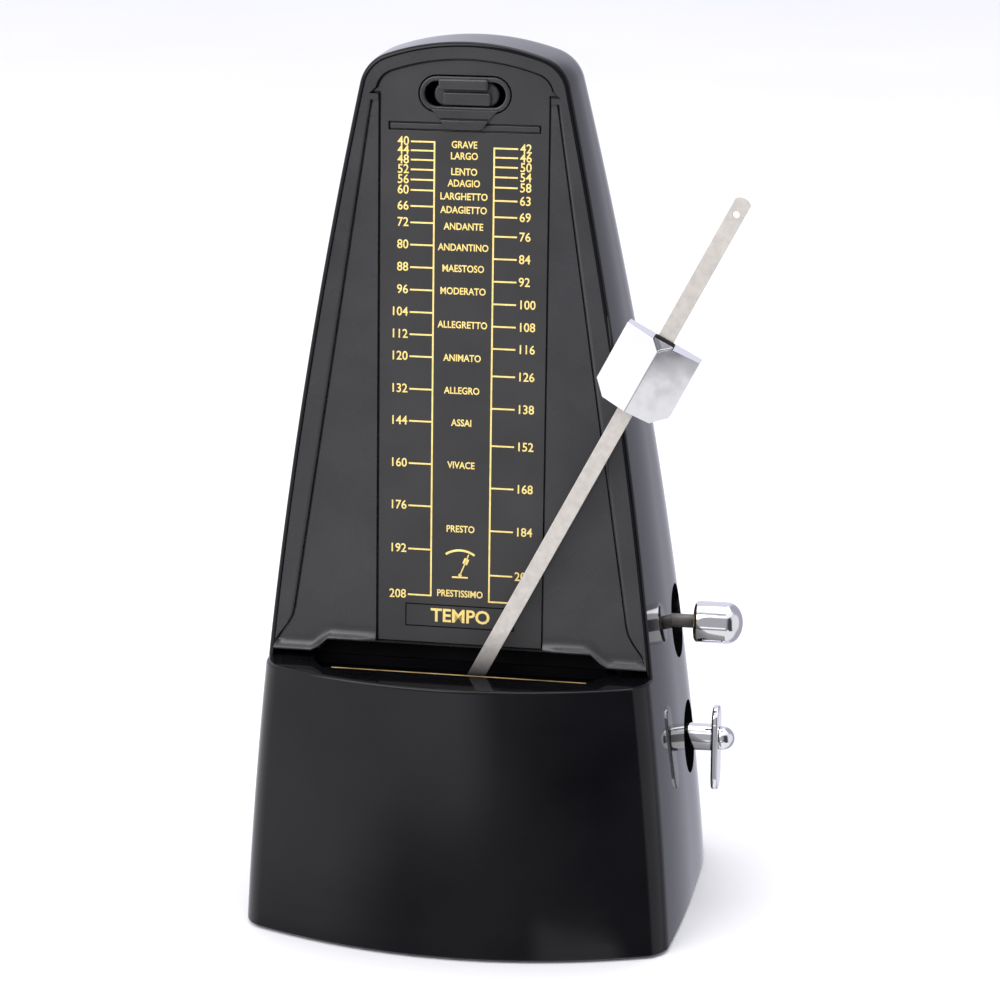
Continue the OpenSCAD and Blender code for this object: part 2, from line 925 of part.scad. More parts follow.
module rod_hub() {
    color([0.82, 0.68, 0.33])
        on_pendulum(0, -3.2)
            ring(4.4, fine_arbor_r, 3.2 - rod_t / 2);
}

module rod_screw() {
    color("silver")
        on_pendulum(0, rod_t / 2)
            screw(2.2, 1.1, 0.9, rod_screw_l);
}

bob_radius = 12.6;
bob_back = -9.4;
bob_front = 3.2;
module pendulum_rod() {
    color([0.8, 0.78, 0.74])
        difference() {
            on_pendulum(0, -rod_t / 2)
                linear_extrude(rod_t)
                    difference() {
                        union() {
                            translate([-rod_w / 2, -bob_r - 6])
                                square([rod_w, rod_tip_r + bob_r + 6 - tip_arc_r]);
                            intersection() {
                                translate([0, rod_tip_r - tip_arc_r])
                                    circle(r = tip_arc_r);
                                translate([-rod_w / 2, rod_tip_r - tip_arc_r - 1])
                                    square([rod_w, tip_arc_r + 2]);
                            }
                            circle(r = 4);
                        }
                        translate([0, rod_tip_r - 4.2])
                            circle(r = 0.85);
                    }
            on_pendulum(0, -2)
                cylinder(r = fine_arbor_r, h = 4);
        }
}

module counterweight() {
    color([0.42, 0.42, 0.44])
        difference() {
            on_pendulum(-bob_r, bob_back)
                cylinder(r = bob_radius, h = bob_front - bob_back);
            on_pendulum(-bob_r - 6, -rod_t / 2)
                translate([-rod_w / 2, 0, 0])
                    cube([rod_w, 30, rod_t]);
        }
}

weight_w = 19.5;
weight_h = 18.4;
weight_back = -3.6;
weight_side = 2;
weight_ridge = 5;
module sliding_weight() {
    color([0.86, 0.87, 0.9])
        difference() {
            on_pendulum(weight_r + weight_h / 2, 0)
                rotate([90, 0, 0])
                    linear_extrude(weight_h)
                        polygon([[-weight_w / 2, weight_back], [weight_w / 2, weight_back],
                                 [weight_w / 2, weight_side], [0, weight_ridge],
                                 [-weight_w / 2, weight_side]]);
            on_pendulum(weight_r, weight_back - 1)
                linear_extrude(12)
                    for (side = [-1, 1])
                        polygon([[side * weight_w / 2, -weight_h / 2 + 3],
                                 [side * (weight_w / 2 + 4), -weight_h / 2 + 3],
                                 [side * (weight_w / 2 + 4), -weight_h / 2 - 4],
                                 [side * (weight_w / 2 - 4), -weight_h / 2 - 4],
                                 [side * (weight_w / 2 - 3.4), -weight_h / 2]]);
            on_pendulum(weight_r - 20, -0.55)
                translate([-rod_w / 2 - 0.1, 0, 0])
                    cube([rod_w + 0.2, 40, 1.1]);
            on_pendulum(weight_r - 7, -2.6)
                translate([-6, 0, 0])
                    cube([12, 14, 5]);
            on_pendulum(weight_r + weight_h / 2 - 1.4, -0.5)
                linear_extrude(8)
                    polygon([[-2.8, 3], [0, 0], [2.8, 3]]);
        }
}

// Leaf that presses the weight against the rod.
module weight_spring() {
    color([0.6, 0.62, 0.66])
        on_pendulum(weight_r, 0)
            rotate([90, 0, 90])
                translate([0, 0, -1.5])
                    linear_extrude(3)
                        polygon([[-6.8, -2.5], [-6.8, -2.1], [0, -0.75], [6.8, -2.1],
                                 [6.8, -2.5], [0, -1.15]]);
}

// ---- Bell selector ----

shaft_x = -31;
knob_x = 53.4;
knob_l = 12.2;
knob_r = 5.3;
drum_x = 2;
drum_pinion_l = 13;
cam_r = 7.4;
cam_t = 1.5;
cam_lobes = [18, 12, 9, 6];
drum_l = drum_pinion_l + len(cam_lobes) * select_step;
detent_x = -24;
detent_foot = [16, 76];

module selector_shaft() {
    color([0.8, 0.8, 0.8])
        difference() {
            along_x(shaft_x, selector_axis)
                cylinder(r = selector_r, h = knob_x + 7 - shaft_x);
            for (i = [-2:2])
                along_x(detent_x + i * select_step, selector_axis)
                    rotate_extrude()
                        translate([selector_r, 0])
                            circle(r = 0.45);
        }
}

module selector_knob() {
    dome = 3.9;
    fillet = 1;
    color([0.86, 0.87, 0.9])
        along_x(knob_x, selector_axis)
            difference() {
                rotate_extrude()
                    polygon(concat(
                        [[0, 0]],
                        [for (a = [0:15:90])
                            [knob_r - fillet * (1 - sin(a)), fillet * (1 - cos(a))]],
                        [for (a = [0:9:90])
                            [knob_r * cos(a), knob_l - dome + dome * sin(a)]]));
                translate([0, 0, -1])
                    cylinder(r = selector_r, h = 8);
            }
}

module shaft_collars() {
    color([0.8, 0.66, 0.32])
        for (x = [drum_x - 1.2, drum_x + drum_l + 0.2])
            along_x(x, selector_axis)
                ring(3.2, selector_r, 1);
}

// Long pinion and four cams: one lobe lifts the hammer every 2, 3, 4 or 6 beats.
module bell_drum() {
    color([0.82, 0.68, 0.33])
        along_x(drum_x, selector_axis)
            difference() {
                union() {
                    linear_extrude(drum_pinion_l)
                        gear_outline(drum_teeth, bell_module, drum_angle);
                    translate([0, 0, drum_pinion_l])
                        cylinder(r = 4.4, h = drum_l - drum_pinion_l);
                    for (i = [0:len(cam_lobes) - 1])
                        translate([0, 0, drum_pinion_l + i * select_step])
                            cam(cam_lobes[i]);
                }
                translate([0, 0, -1])
                    cylinder(r = selector_r + running, h = drum_l + 2);
            }
}

module cam(lobes) {
    linear_extrude(cam_t)
        polygon([for (i = [0:lobes - 1])
            for (c = [[cam_r - 1, 0], [cam_r - 1, 0.45], [cam_r, 0.75], [cam_r, 0.9]])
                let(a = 360 / lobes * (i + c[1]))
                    c[0] * [cos(a), sin(a)]]);
}

// Leaf whose tip clicks into the grooves of the shaft.
module detent_spring() {
    color([0.6, 0.62, 0.66])
        difference() {
            union() {
                along_x(left_plate_x - 0.5, detent_foot)
                    cylinder(r = 2, h = 0.5);
                translate([detent_x - 1, 0, 0])
                    along_x(0, [0, 0])
                        linear_extrude(2)
                            polygon([[18, 75.2], [18, 75.7], [9, 74.4], [9, 73.95],
                                     [9.9, 73.95]]);
                translate([detent_x, 16.4, 74.9])
                    cube([left_plate_x - detent_x, 2.4, 0.5]);
            }
            along_x(left_plate_x - 2, detent_foot)
                cylinder(r = 0.9, h = 4);
        }
}

// ---- Hammer and bell ----

bell_axis = [2, 41];
bell_r = 17;
bell_rim_x = -25;
bell_seat = 7.8;
hammer_x = -29;
head_r = 2.4;
strike_r = bell_r + head_r + 0.35;
strike_angle = bearing(bell_axis, hammer_axis)
    - acos(strike_r / norm(hammer_axis - bell_axis));
head_axis = bell_axis + strike_r * [cos(strike_angle), sin(strike_angle)];
finger_x = drum_x + drum_pinion_l + 2 * select_step + cam_t / 2;

module hammer_arbor() {
    color([0.75, 0.75, 0.74])
        along_x(hammer_x - 2, hammer_axis)
            cylinder(r = hammer_arbor_r, h = right_plate_x + plate_t + 0.8 - hammer_x + 2);
}

module hammer_arm() {
    arm = head_axis - hammer_axis;
    color([0.82, 0.68, 0.33])
        along_x(hammer_x - 0.6, hammer_axis)
            difference() {
                union() {
                    cylinder(r = 2.8, h = 1.2);
                    rotate(atan2(arm[1], arm[0]))
                        translate([0, -1, 0])
                            cube([norm(arm) - head_r + 0.2, 2, 1.2]);
                }
                translate([0, 0, -1])
                    cylinder(r = hammer_arbor_r, h = 4);
                translate([arm[0], arm[1], -1])
                    cylinder(r = head_r, h = 4);
            }
}

module hammer_head() {
    color([0.82, 0.68, 0.33])
        along_x(hammer_x - 3, head_axis)
            cylinder(r = head_r, h = 6);
}

module hammer_finger() {
    reach = norm(hammer_axis - selector_axis) - cam_r - 0.35;
    color([0.82, 0.68, 0.33])
        along_x(finger_x - 0.6, hammer_axis)
            difference() {
                union() {
                    cylinder(r = 2.8, h = 1.2);
                    rotate(bearing(hammer_axis, selector_axis))
                        translate([0, -0.7, 0])
                            cube([reach, 1.4, 1.2]);
                }
                translate([0, 0, -1])
                    cylinder(r = hammer_arbor_r, h = 4);
            }
}

module hammer_spring() {
    color([0.6, 0.62, 0.66])
        for (i = [0:4])
            along_x(left_plate_x - 1.4 - i * 0.9, hammer_axis)
                rotate_extrude()
                    translate([2.3, 0])
                        circle(r = 0.3, $fn = 16);
}

// Dish that opens towards the left plate.
module bell() {
    outer = [for (a = [0:15:90]) [bell_r * pow(cos(a), 0.6), 9 * sin(a)]];
    inner = [for (a = [90:-15:0]) [(bell_r - 1.1) * pow(cos(a), 0.6), 7.9 * sin(a)]];
    color([0.88, 0.74, 0.4])
        along_x(bell_rim_x, bell_axis)
            mirror([0, 0, 1])
                difference() {
                    rotate_extrude()
                        polygon(concat(outer, inner));
                    cylinder(r = 1, h = 20);
                }
}

module bell_post() {
    color([0.75, 0.75, 0.72])
        difference() {
            along_x(bell_rim_x - bell_seat, bell_axis)
                cylinder(r = 2.4, h = left_plate_x - bell_rim_x + bell_seat);
            along_x(bell_rim_x - 9, bell_axis)
                cylinder(r = 0.9, h = 7);
        }
}

module bell_screw() {
    color("silver")
        along_x(bell_rim_x - 9, bell_axis)
            mirror([0, 0, 1])
                screw(2, 1, 0.85, 6);
}

main_shell();
front_frame();
scale_plate();
rod_clip();
base_plate();
base_screws();
rubber_feet();
left_plate();
right_plate();
plate_screws();
pillars();
pillar_nuts();
left_bushes();
right_bushes();
front_bridge();
bridge_screws();
rear_cock();
escape_bridge();
escape_bridge_screws();
winding_arbor();
ratchet_wheel();
key_sleeve();
key_wing();
key_cap();
click();
click_screw();
click_spring();
barrel_drum();
barrel_cap();
mainspring();
great_wheel();
second_arbor();
second_pinion();
second_wheel();
bell_wheel();
escape_arbor();
escape_pinion();
crown_wheel();
pendulum_arbor();
pallets();
rod_hub();
rod_screw();
pendulum_rod();
counterweight();
sliding_weight();
weight_spring();
selector_shaft();
selector_knob();
shaft_collars();
bell_drum();
detent_spring();
hammer_arbor();
hammer_arm();
hammer_head();
hammer_finger();
hammer_spring();
bell();
bell_post();
bell_screw();
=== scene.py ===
"""Looks of the pyramid metronome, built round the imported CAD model.

Lengths are written in millimetres and scaled to metres when a mesh is made.
"""
import json
import math

import bmesh
import bpy
from mathutils import Matrix, Vector


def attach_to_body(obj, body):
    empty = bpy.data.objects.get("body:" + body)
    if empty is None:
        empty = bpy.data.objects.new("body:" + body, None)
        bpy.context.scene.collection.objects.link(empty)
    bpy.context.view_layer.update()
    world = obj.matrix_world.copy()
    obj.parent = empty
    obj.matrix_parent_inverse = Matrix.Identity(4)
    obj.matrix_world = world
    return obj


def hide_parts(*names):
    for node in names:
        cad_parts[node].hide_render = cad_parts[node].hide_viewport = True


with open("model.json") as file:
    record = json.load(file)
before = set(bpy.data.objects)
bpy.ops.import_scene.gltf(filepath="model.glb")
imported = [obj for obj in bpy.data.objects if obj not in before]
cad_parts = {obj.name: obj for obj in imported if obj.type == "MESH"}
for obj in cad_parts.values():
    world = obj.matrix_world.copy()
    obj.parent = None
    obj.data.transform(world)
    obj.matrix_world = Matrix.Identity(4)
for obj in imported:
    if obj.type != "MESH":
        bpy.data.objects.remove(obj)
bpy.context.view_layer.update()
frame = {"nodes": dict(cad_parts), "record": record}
MM = 0.001

# ---- Case surfaces, as functions of the height z ----

CASE_H = 221.4
SHELL_BOTTOM = 0.6
LEDGE_Z = 69.3
ARCH_Z = 205.0
LEAN = math.radians(3.4)
FRAME_Y0 = 34.0
WALL = 2.5
RIM_W = 1.0
RIM_ROUND = 0.8
CORNER_ROUND = 4.5
EDGE_ROUND = 0.8
BACK_POWER = 5.0
CROWN_R = 58.0
SHOULDER_R = 9.5
BASE_HALF_W = 53.35
TAPER = 0.0535
TAPER_CURVE = 0.00037
SIDE_BOW = 0.045
BASE_BULGE = 12
BACK_BULGE = 8
# Lines seen from the side: y at the table, and its slope.
BASE_LINE = (-38, 0.018)
SIDE_FRONT_LINE = (-38, 0.09)
SIDE_BACK_LINE = (42, -0.2)


def half_w(z):
    return BASE_HALF_W - TAPER * z - TAPER_CURVE * z * z


def on_line(line, z):
    return line[0] + line[1] * z


def frame_y(z):
    return -FRAME_Y0 + math.tan(LEAN) * z


def mid_y(z):
    return (on_line(SIDE_FRONT_LINE, z) + on_line(SIDE_BACK_LINE, z)) / 2


def half_d(z):
    return (on_line(SIDE_BACK_LINE, z) - on_line(SIDE_FRONT_LINE, z)) / 2


def back_y(z):
    return on_line(SIDE_BACK_LINE, z) + BACK_BULGE * half_w(z) / BASE_HALF_W


def side_x(y, z):
    """Half width of the case at a place on its bowed side."""
    return half_w(z) + SIDE_BOW * half_d(z) * (1 - ((y - mid_y(z)) / half_d(z)) ** 2)


def wall_x(y, z):
    """Half width of the case at a place on its side or its rounded back."""
    if y <= mid_y(z):
        return side_x(y, z)
    s = (y - mid_y(z)) / (back_y(z) - mid_y(z))
    return side_x(mid_y(z), z) * (1 - s**BACK_POWER) ** (1 / BACK_POWER)


def polar(angle, power):
    """Point of a superellipse of half size 1, at that angle from its centre."""
    c, s = max(0.0, math.cos(angle)), math.sin(angle)
    r = (c**power + s**power) ** (-1 / power)
    return c * r, s * r


HALVINGS = 50


def shoulder():
    """Where the rounded shoulder of the crown meets the side, and its centre."""
    low, high = ARCH_Z, CASE_H
    for _ in range(HALVINGS):
        z = (low + high) / 2
        x = side_x(frame_y(z), z)
        slope = x - side_x(frame_y(z + 1), z + 1)
        unit = math.hypot(1, slope)
        centre = Vector((x - SHOULDER_R / unit, z - SHOULDER_R * slope / unit))
        if math.hypot(centre.x, centre.y - CASE_H + CROWN_R) < CROWN_R - SHOULDER_R:
            low = z
        else:
            high = z
    return z, centre, math.atan(slope)


def on_front(x, s, n=0.0):
    """Point of the leaning front: x across, s up the face, n out of it."""
    return Vector(
        (
            x,
            -FRAME_Y0 + s * math.sin(LEAN) - n * math.cos(LEAN),
            s * math.cos(LEAN) + n * math.sin(LEAN),
        )
    )


FRONT = Matrix(
    (
        (1, 0, 0, 0),
        (0, math.sin(LEAN), -math.cos(LEAN), -FRAME_Y0),
        (0, math.cos(LEAN), math.sin(LEAN), 0),
        (0, 0, 0, 1),
    )
)


def smooth(t):
    t = min(1.0, max(0.0, t))
    return t * t * (3 - 2 * t)


def lerp(a, b, t):
    return a + (b - a) * t


# ---- Mesh helpers ----


def link(name, mesh):
    obj = bpy.data.objects.new(name, mesh)
    bpy.context.scene.collection.objects.link(obj)
    return obj


def finish_mesh(obj, sharp_deg=32, weighted=True):
    """Smooth shading with sharp edges kept, and flat faces that stay flat."""
    mesh = obj.data
    mesh.polygons.foreach_set("use_smooth", [True] * len(mesh.polygons))
    mesh.set_sharp_from_angle(angle=math.radians(sharp_deg))
    if weighted:
        mod = obj.modifiers.new("normals", "WEIGHTED_NORMAL")
        mod.keep_sharp = True
        mod.weight = 80
    mesh.update()


def from_bmesh(name, bm, merge=1e-3, transform=None):
    """An object from a bmesh in millimetres."""
    bmesh.ops.remove_doubles(bm, verts=bm.verts, dist=merge)
    bmesh.ops.dissolve_degenerate(bm, edges=bm.edges, dist=merge / 2)
    bmesh.ops.recalc_face_normals(bm, faces=bm.faces)
    if transform is not None:
        bm.transform(transform)
    bm.transform(Matrix.Scale(MM, 4))
    mesh = bpy.data.meshes.new(name)
    bm.to_mesh(mesh)
    bm.free()
    return link(name, mesh)


def add_grid(bm, rows, flip=False):
    """Quads between rows of points."""
    verts = [[bm.verts.new(p) for p in row] for row in rows]
    for a, b in zip(verts, verts[1:]):
        for i in range(len(a) - 1):
            quad = (a[i], a[i + 1], b[i + 1], b[i])
            bm.faces.new(quad[::-1] if flip else quad)
    return verts


def apply_modifiers(obj):
    """Bakes an object's modifiers, or a curve or text, into a plain mesh."""
    bpy.context.view_layer.update()
    graph = bpy.context.evaluated_depsgraph_get()
    mesh = bpy.data.meshes.new_from_object(obj.evaluated_get(graph))
    name, place = obj.name, obj.matrix_world.copy()
    bpy.data.objects.remove(obj)
    mesh.transform(place)
    mesh.name = name
    return link(name, mesh)


def join(name, objs):
    """One object from several, with their places baked in."""
    bm = bmesh.new()
    for obj in objs:
        mesh = obj.data
        mesh.transform(obj.matrix_world)
        bm.from_mesh(mesh)
        bpy.data.objects.remove(obj)
    mesh = bpy.data.meshes.new(name)
    bm.to_mesh(mesh)
    bm.free()
    return link(name, mesh)


def slab(name, outlines, low, high, bevel, place, bevel_steps=3):
    """Flat plate with rounded edges from closed outlines, the first outside and
    the rest holes. It lies between the heights low and high of place."""
    curve = bpy.data.curves.new(name, "CURVE")
    curve.dimensions = "2D"
    curve.fill_mode = "BOTH"
    curve.extrude = ((high - low) / 2 - bevel) * MM
    curve.bevel_depth = bevel * MM
    curve.bevel_resolution = bevel_steps
    curve.offset = -bevel * MM
    for points in outlines:
        spline = curve.splines.new("POLY")
        spline.points.add(len(points) - 1)
        for target, p in zip(spline.points, points):
            target.co = (p[0] * MM, p[1] * MM, 0, 1)
        spline.use_cyclic_u = True
    obj = link(name, curve)
    scaled = place.copy()
    scaled.translation = place.translation * MM
    obj.matrix_world = scaled @ Matrix.Translation((0, 0, (low + high) / 2 * MM))
    obj = apply_modifiers(obj)
    bm = bmesh.new()
    bm.from_mesh(obj.data)
    bmesh.ops.remove_doubles(bm, verts=bm.verts, dist=2e-6)
    bmesh.ops.recalc_face_normals(bm, faces=bm.faces)
    bm.to_mesh(obj.data)
    bm.free()
    finish_mesh(obj)
    return obj


def lathe(name, profile, place, steps=96):
    """Turned piece: profile is (distance along the axis, radius)."""
    bm = bmesh.new()
    rows = [
        [
            (along, r * math.cos(2 * math.pi * i / steps), r * math.sin(2 * math.pi * i / steps))
            for i in range(steps + 1)
        ]
        for along, r in profile
    ]
    add_grid(bm, rows)
    obj = from_bmesh(name, bm, transform=place)
    finish_mesh(obj, weighted=False)
    return obj


def arc(centre, radius, start, end, steps):
    """Points on a circle, angles in degrees."""
    return [
        (
            centre[0] + radius * math.cos(math.radians(lerp(start, end, i / steps))),
            centre[1] + radius * math.sin(math.radians(lerp(start, end, i / steps))),
        )
        for i in range(steps + 1)
    ]


def rounded_box(x0, y0, x1, y1, r, steps=5):
    return (
        arc((x1 - r, y1 - r), r, 0, 90, steps)
        + arc((x0 + r, y1 - r), r, 90, 180, steps)
        + arc((x0 + r, y0 + r), r, 180, 270, steps)
        + arc((x1 - r, y0 + r), r, 270, 360, steps)
    )


def stadium(half_width, half_height, centre=(0, 0), steps=14):
    run = half_width - half_height
    return arc((centre[0] + run, centre[1]), half_height, -90, 90, steps) + arc(
        (centre[0] - run, centre[1]), half_height, 90, 270, steps
    )


def mirrored(points):
    """Outline that is the same on both sides of the centre line."""
    return [(-x, y) for x, y in reversed(points)] + points


# ---- Outline of the front face ----

SIDE_END_Z, SHOULDER_C, SHOULDER_A = shoulder()


def edge_point(i):
    """Right edge of the front: i below 0 runs down the side, 0 to 1 is the end of
    the side, 1 to 2 the shoulder and 2 to 3 the crown. Gives x, z, and the shares of
    the full width and of the crown's height."""
    if i <= 1:
        z = ARCH_Z + (i if i <= 0 else i * (SIDE_END_Z - ARCH_Z))
        x = side_x(frame_y(z), z)
    else:
        crown_c = Vector((0, CASE_H - CROWN_R))
        end = (SHOULDER_C - crown_c).normalized()
        end_a = math.atan2(end.y, end.x)
        if i <= 2:
            centre, radius, angle = SHOULDER_C, SHOULDER_R, lerp(SHOULDER_A, end_a, i - 1)
        else:
            centre, radius, angle = crown_c, CROWN_R, lerp(end_a, math.pi / 2, i - 2)
        x, z = centre.x + radius * math.cos(angle), centre.y + radius * math.sin(angle)
    return x, z, x / side_x(frame_y(z), z), max(0.0, z - ARCH_Z) / (CASE_H - ARCH_Z)


SIDE_STEPS = 34
LOW_ROW_Z = LEDGE_Z - EDGE_ROUND
edge_keys = [lerp(LOW_ROW_Z - ARCH_Z, 0, i / SIDE_STEPS) for i in range(SIDE_STEPS)]
edge_keys += [i / 3 for i in range(3)] + [1 + i / 14 for i in range(14)]
edge_keys += [2 + i / 20 for i in range(21)]
right_edge = []
for edge_key in edge_keys:
    edge_x, edge_z, _, _ = edge_point(edge_key)
    right_edge.append(Vector((edge_x, edge_z / math.cos(LEAN))))


def inset_edge(t):
    """The right edge moved in by t, in (x, s), from the ledge to the top centre."""
    out = []
    last = len(right_edge) - 1
    for i, p in enumerate(right_edge):
        d = right_edge[min(i + 1, last)] - right_edge[max(i - 1, 0)]
        if i == last:
            d = Vector((-1, 0))
        d.normalize()
        q = p + t * Vector((-d.y, d.x))
        out.append(Vector((max(0.0, q.x) if i < last else 0.0, q.y)))
    return out


# ---- Case shell ----

BACK_STEPS = 34
WALL_STEPS = 22
FRONT_STEPS = 24
CORNER_STEPS = 8
LOW_STEPS = 17
RIM_STEPS = 6
RING_STEPS = 7
HOLE_R = 9.4
# The walls are left open this far round a hole, for the rings of faces round it.
HOLE_MARGIN = 1.2
OPENINGS = [(12, 40), (9, 72)]
# The base front and the side wall meet here.
SPLIT_Y = frame_y(LEDGE_Z) + RIM_ROUND
FOOT_ROUND = EDGE_ROUND * 0.6
LEDGE_INSET = 1.25


def wall_row(z, x_scale=1.0, height=0.0, y0=None):
    """Side wall and back at one row, from the front to the back centre line."""
    top = ARCH_Z + (CASE_H - ARCH_Z) * height
    z_here = top if height else z
    start = y0 if y0 is not None else frame_y(z_here) + RIM_ROUND
    row = []
    for i in range(WALL_STEPS):
        y = lerp(start, mid_y(z_here), i / WALL_STEPS)
        row.append((side_x(y, z_here) * x_scale, y, z_here))
    for i in range(BACK_STEPS + 1):
        c, s = polar(math.pi / 2 * i / BACK_STEPS, BACK_POWER)
        zz = lerp(ARCH_Z, z_here, c) if height else z_here
        x = side_x(mid_y(zz), zz) * c * x_scale
        row.append((x, mid_y(zz) + (back_y(zz) - mid_y(zz)) * s, zz))
    return row


def quarter(corner, a, b, steps):
    """Rounded corner that runs from corner + a to corner + b."""
    out = []
    for i in range(steps + 1):
        angle = math.pi / 2 * i / steps
        out.append(corner + a * (1 - math.sin(angle)) + b * (1 - math.cos(angle)))
    return out


def front_half(z):
    """Base front at height z, from the centre round the corner to the side."""
    corner_y = on_line(BASE_LINE, z)
    corner_x = side_x(corner_y, z)
    bulge = BASE_BULGE * half_w(z) / BASE_HALF_W

    def curve(x):
        return Vector((x, corner_y - bulge * (1 - (x / corner_x) ** 2)))

    inner_x = corner_x - CORNER_ROUND * 0.9
    row = [curve(inner_x * i / FRONT_STEPS) for i in range(FRONT_STEPS + 1)]
    corner = Vector((corner_x, corner_y))
    side_y = corner_y + CORNER_ROUND
    side = Vector((side_x(side_y, z), side_y))
    row += quarter(corner, row[-1] - corner, side - corner, CORNER_STEPS)[1:]
    for i in range(1, 4):
        y = lerp(side_y, SPLIT_Y, i / 3)
        row.append(Vector((side_x(y, z), y)))
    return row


def inset_row(points, t):
    """A level row of (x, y) points moved in by t."""
    out = []
    for i, p in enumerate(points):
        d = points[min(i + 1, len(points) - 1)] - points[max(i - 1, 0)]
        if i == 0:
            d = Vector((1, 0))
        d.normalize()
        out.append(p + t * Vector((-d.y, d.x)))
    return out


def rounded_edge(row, z, rise, steps, last_inset, closes=False):
    """Rows that turn a level row inwards over a rounded edge, upwards or, where rise
    is negative, downwards. The last row is a flat border. closes keeps the end of
    each row on the centre line."""
    radius = abs(rise)
    turns = [math.pi / 2 * i / steps for i in range(1, steps + 1)]
    stages = [(math.sin(turn), 1 - math.cos(turn)) for turn in turns]
    rows = [[Vector((p.x, p.y, z)) for p in row]]
    for up, inset in stages + [(1.0, last_inset)]:
        points = [Vector((p.x, p.y, z + rise * up)) for p in inset_row(row, radius * inset)]
        if closes:
            points[-1].x = 0.0
        rows.append(points)
    return rows


def front_rim(walls):
    """Rounded rim of the front opening, from the walls' first points inwards."""
    rim_in = inset_edge(RIM_W)
    rim_flat = inset_edge(RIM_ROUND)
    rows = []
    for wall, edge, inner, flat in zip(walls, right_edge, rim_in, rim_flat):
        corner = on_front(edge.x, edge.y)
        a = on_front(flat.x, flat.y) - corner
        b = Vector(wall[0]) - corner
        rows.append([on_front(inner.x, inner.y)] + quarter(corner, a, b, RIM_STEPS))
    return rows


def add_hole(bm, walls, hy, hz):
    """Rings of faces round a round opening. Gives the cells of walls they replace."""

    def near(r, c):
        return math.hypot(walls[r][c][1] - hy, walls[r][c][2] - hz) < HOLE_R + HOLE_MARGIN

    inside = [
        (r, c)
        for r in range(len(walls) - 1)
        for c in range(WALL_STEPS + BACK_STEPS)
        if walls[r][c][0] > 20 and any(near(r + a, c + b) for a in (0, 1) for b in (0, 1))
    ]
    r0, r1 = min(r for r, _ in inside), max(r for r, _ in inside) + 1
    c0, c1 = min(c for _, c in inside), max(c for _, c in inside) + 1
    ring = (
        [walls[r0][c] for c in range(c0, c1)]
        + [walls[r][c1] for r in range(r0, r1)]
        + [walls[r1][c] for c in range(c1, c0, -1)]
        + [walls[r][c0] for r in range(r1, r0, -1)]
    )
    ring.append(ring[0])
    rings = [ring]
    for k in range(1, RING_STEPS + 1):
        share = (k / RING_STEPS) ** 0.8
        line = []
        for _, py, pz in ring:
            d = Vector((py - hy, pz - hz))
            r = lerp(d.length, HOLE_R, share)
            y, z = hy + d.normalized().x * r, hz + d.normalized().y * r
            line.append((wall_x(y, z), y, z))
        rings.append(line)
    add_grid(bm, rings)
    return {(r, c) for r in range(r0, r1) for c in range(c0, c1)}


def half_shell(bm, holes):
    """Right half of the outer skin."""
    low_z = [SHELL_BOTTOM + FOOT_ROUND]
    low_z += [lerp(low_z[0], LOW_ROW_Z, i / LOW_STEPS) for i in range(1, LOW_STEPS + 1)]
    walls = [wall_row(z, y0=SPLIT_Y) for z in low_z]
    for key in edge_keys[1:]:
        _, z, x_scale, height = edge_point(key)
        walls.append(wall_row(z, x_scale, height))
    foot = front_half(low_z[0])[:-1] + [Vector(p[:2]) for p in walls[0]]
    add_grid(bm, rounded_edge(foot, low_z[0], -FOOT_ROUND, 3, 2.0, closes=True))
    add_grid(bm, [[Vector((p.x, p.y, z)) for p in front_half(z)] for z in low_z])
    ledge_row = front_half(LOW_ROW_Z)
    add_grid(bm, rounded_edge(ledge_row, LOW_ROW_Z, EDGE_ROUND, 4, LEDGE_INSET))
    add_grid(bm, front_rim(walls[LOW_STEPS:]))
    cut = set()
    for hy, hz in holes:
        cut |= add_hole(bm, walls, hy, hz)
    verts = [[bm.verts.new(p) for p in row] for row in walls]
    for r, (a, b) in enumerate(zip(verts, verts[1:])):
        for c in range(len(a) - 1):
            if (r, c) not in cut:
                bm.faces.new((a[c], a[c + 1], b[c + 1], b[c]))


SLOT_FRONT = -36.4
SLOT_OUTLINE = [(32.2, -36.4), (33.0, -36.1), (36.2, -31.4), (36.2, -26.0)]
SLOT_OUTLINE += [(-x, y) for x, y in reversed(SLOT_OUTLINE)]


def ledge_top(bm):
    """Flat ledge with the pendulum's slot in it."""
    row = inset_row(front_half(LOW_ROW_Z), EDGE_ROUND * LEDGE_INSET)
    outer = [(p.x, p.y) for p in row[1:]] + [(row[-1].x - 3, -24.0)]
    outer = [(0.0, row[0].y)] + outer + [(-x, y) for x, y in reversed(outer)]
    edges = []
    for loop in (outer, SLOT_OUTLINE):
        verts = [bm.verts.new((x, y, LEDGE_Z)) for x, y in loop]
        edges += [bm.edges.new((verts[i - 1], verts[i])) for i in range(len(verts))]
    bmesh.ops.triangle_fill(bm, use_beauty=True, use_dissolve=False, edges=edges)


def make_shell():
    bm = bmesh.new()
    half_shell(bm, [])
    bmesh.ops.transform(bm, matrix=Matrix.Scale(-1, 4, (1, 0, 0)), verts=bm.verts)
    half_shell(bm, OPENINGS)
    ledge_top(bm)
    obj = from_bmesh("case_shell", bm, merge=2e-3)
    middle = Vector((0, 0, 0.1))
    outward = sum(p.normal.dot(p.center - middle) for p in obj.data.polygons)
    if outward < 0:
        obj.data.flip_normals()
    mod = obj.modifiers.new("wall", "SOLIDIFY")
    mod.thickness = WALL * MM
    mod.offset = -1
    obj = apply_modifiers(obj)
    finish_mesh(obj, 28)
    return obj


# ---- Front panel ----

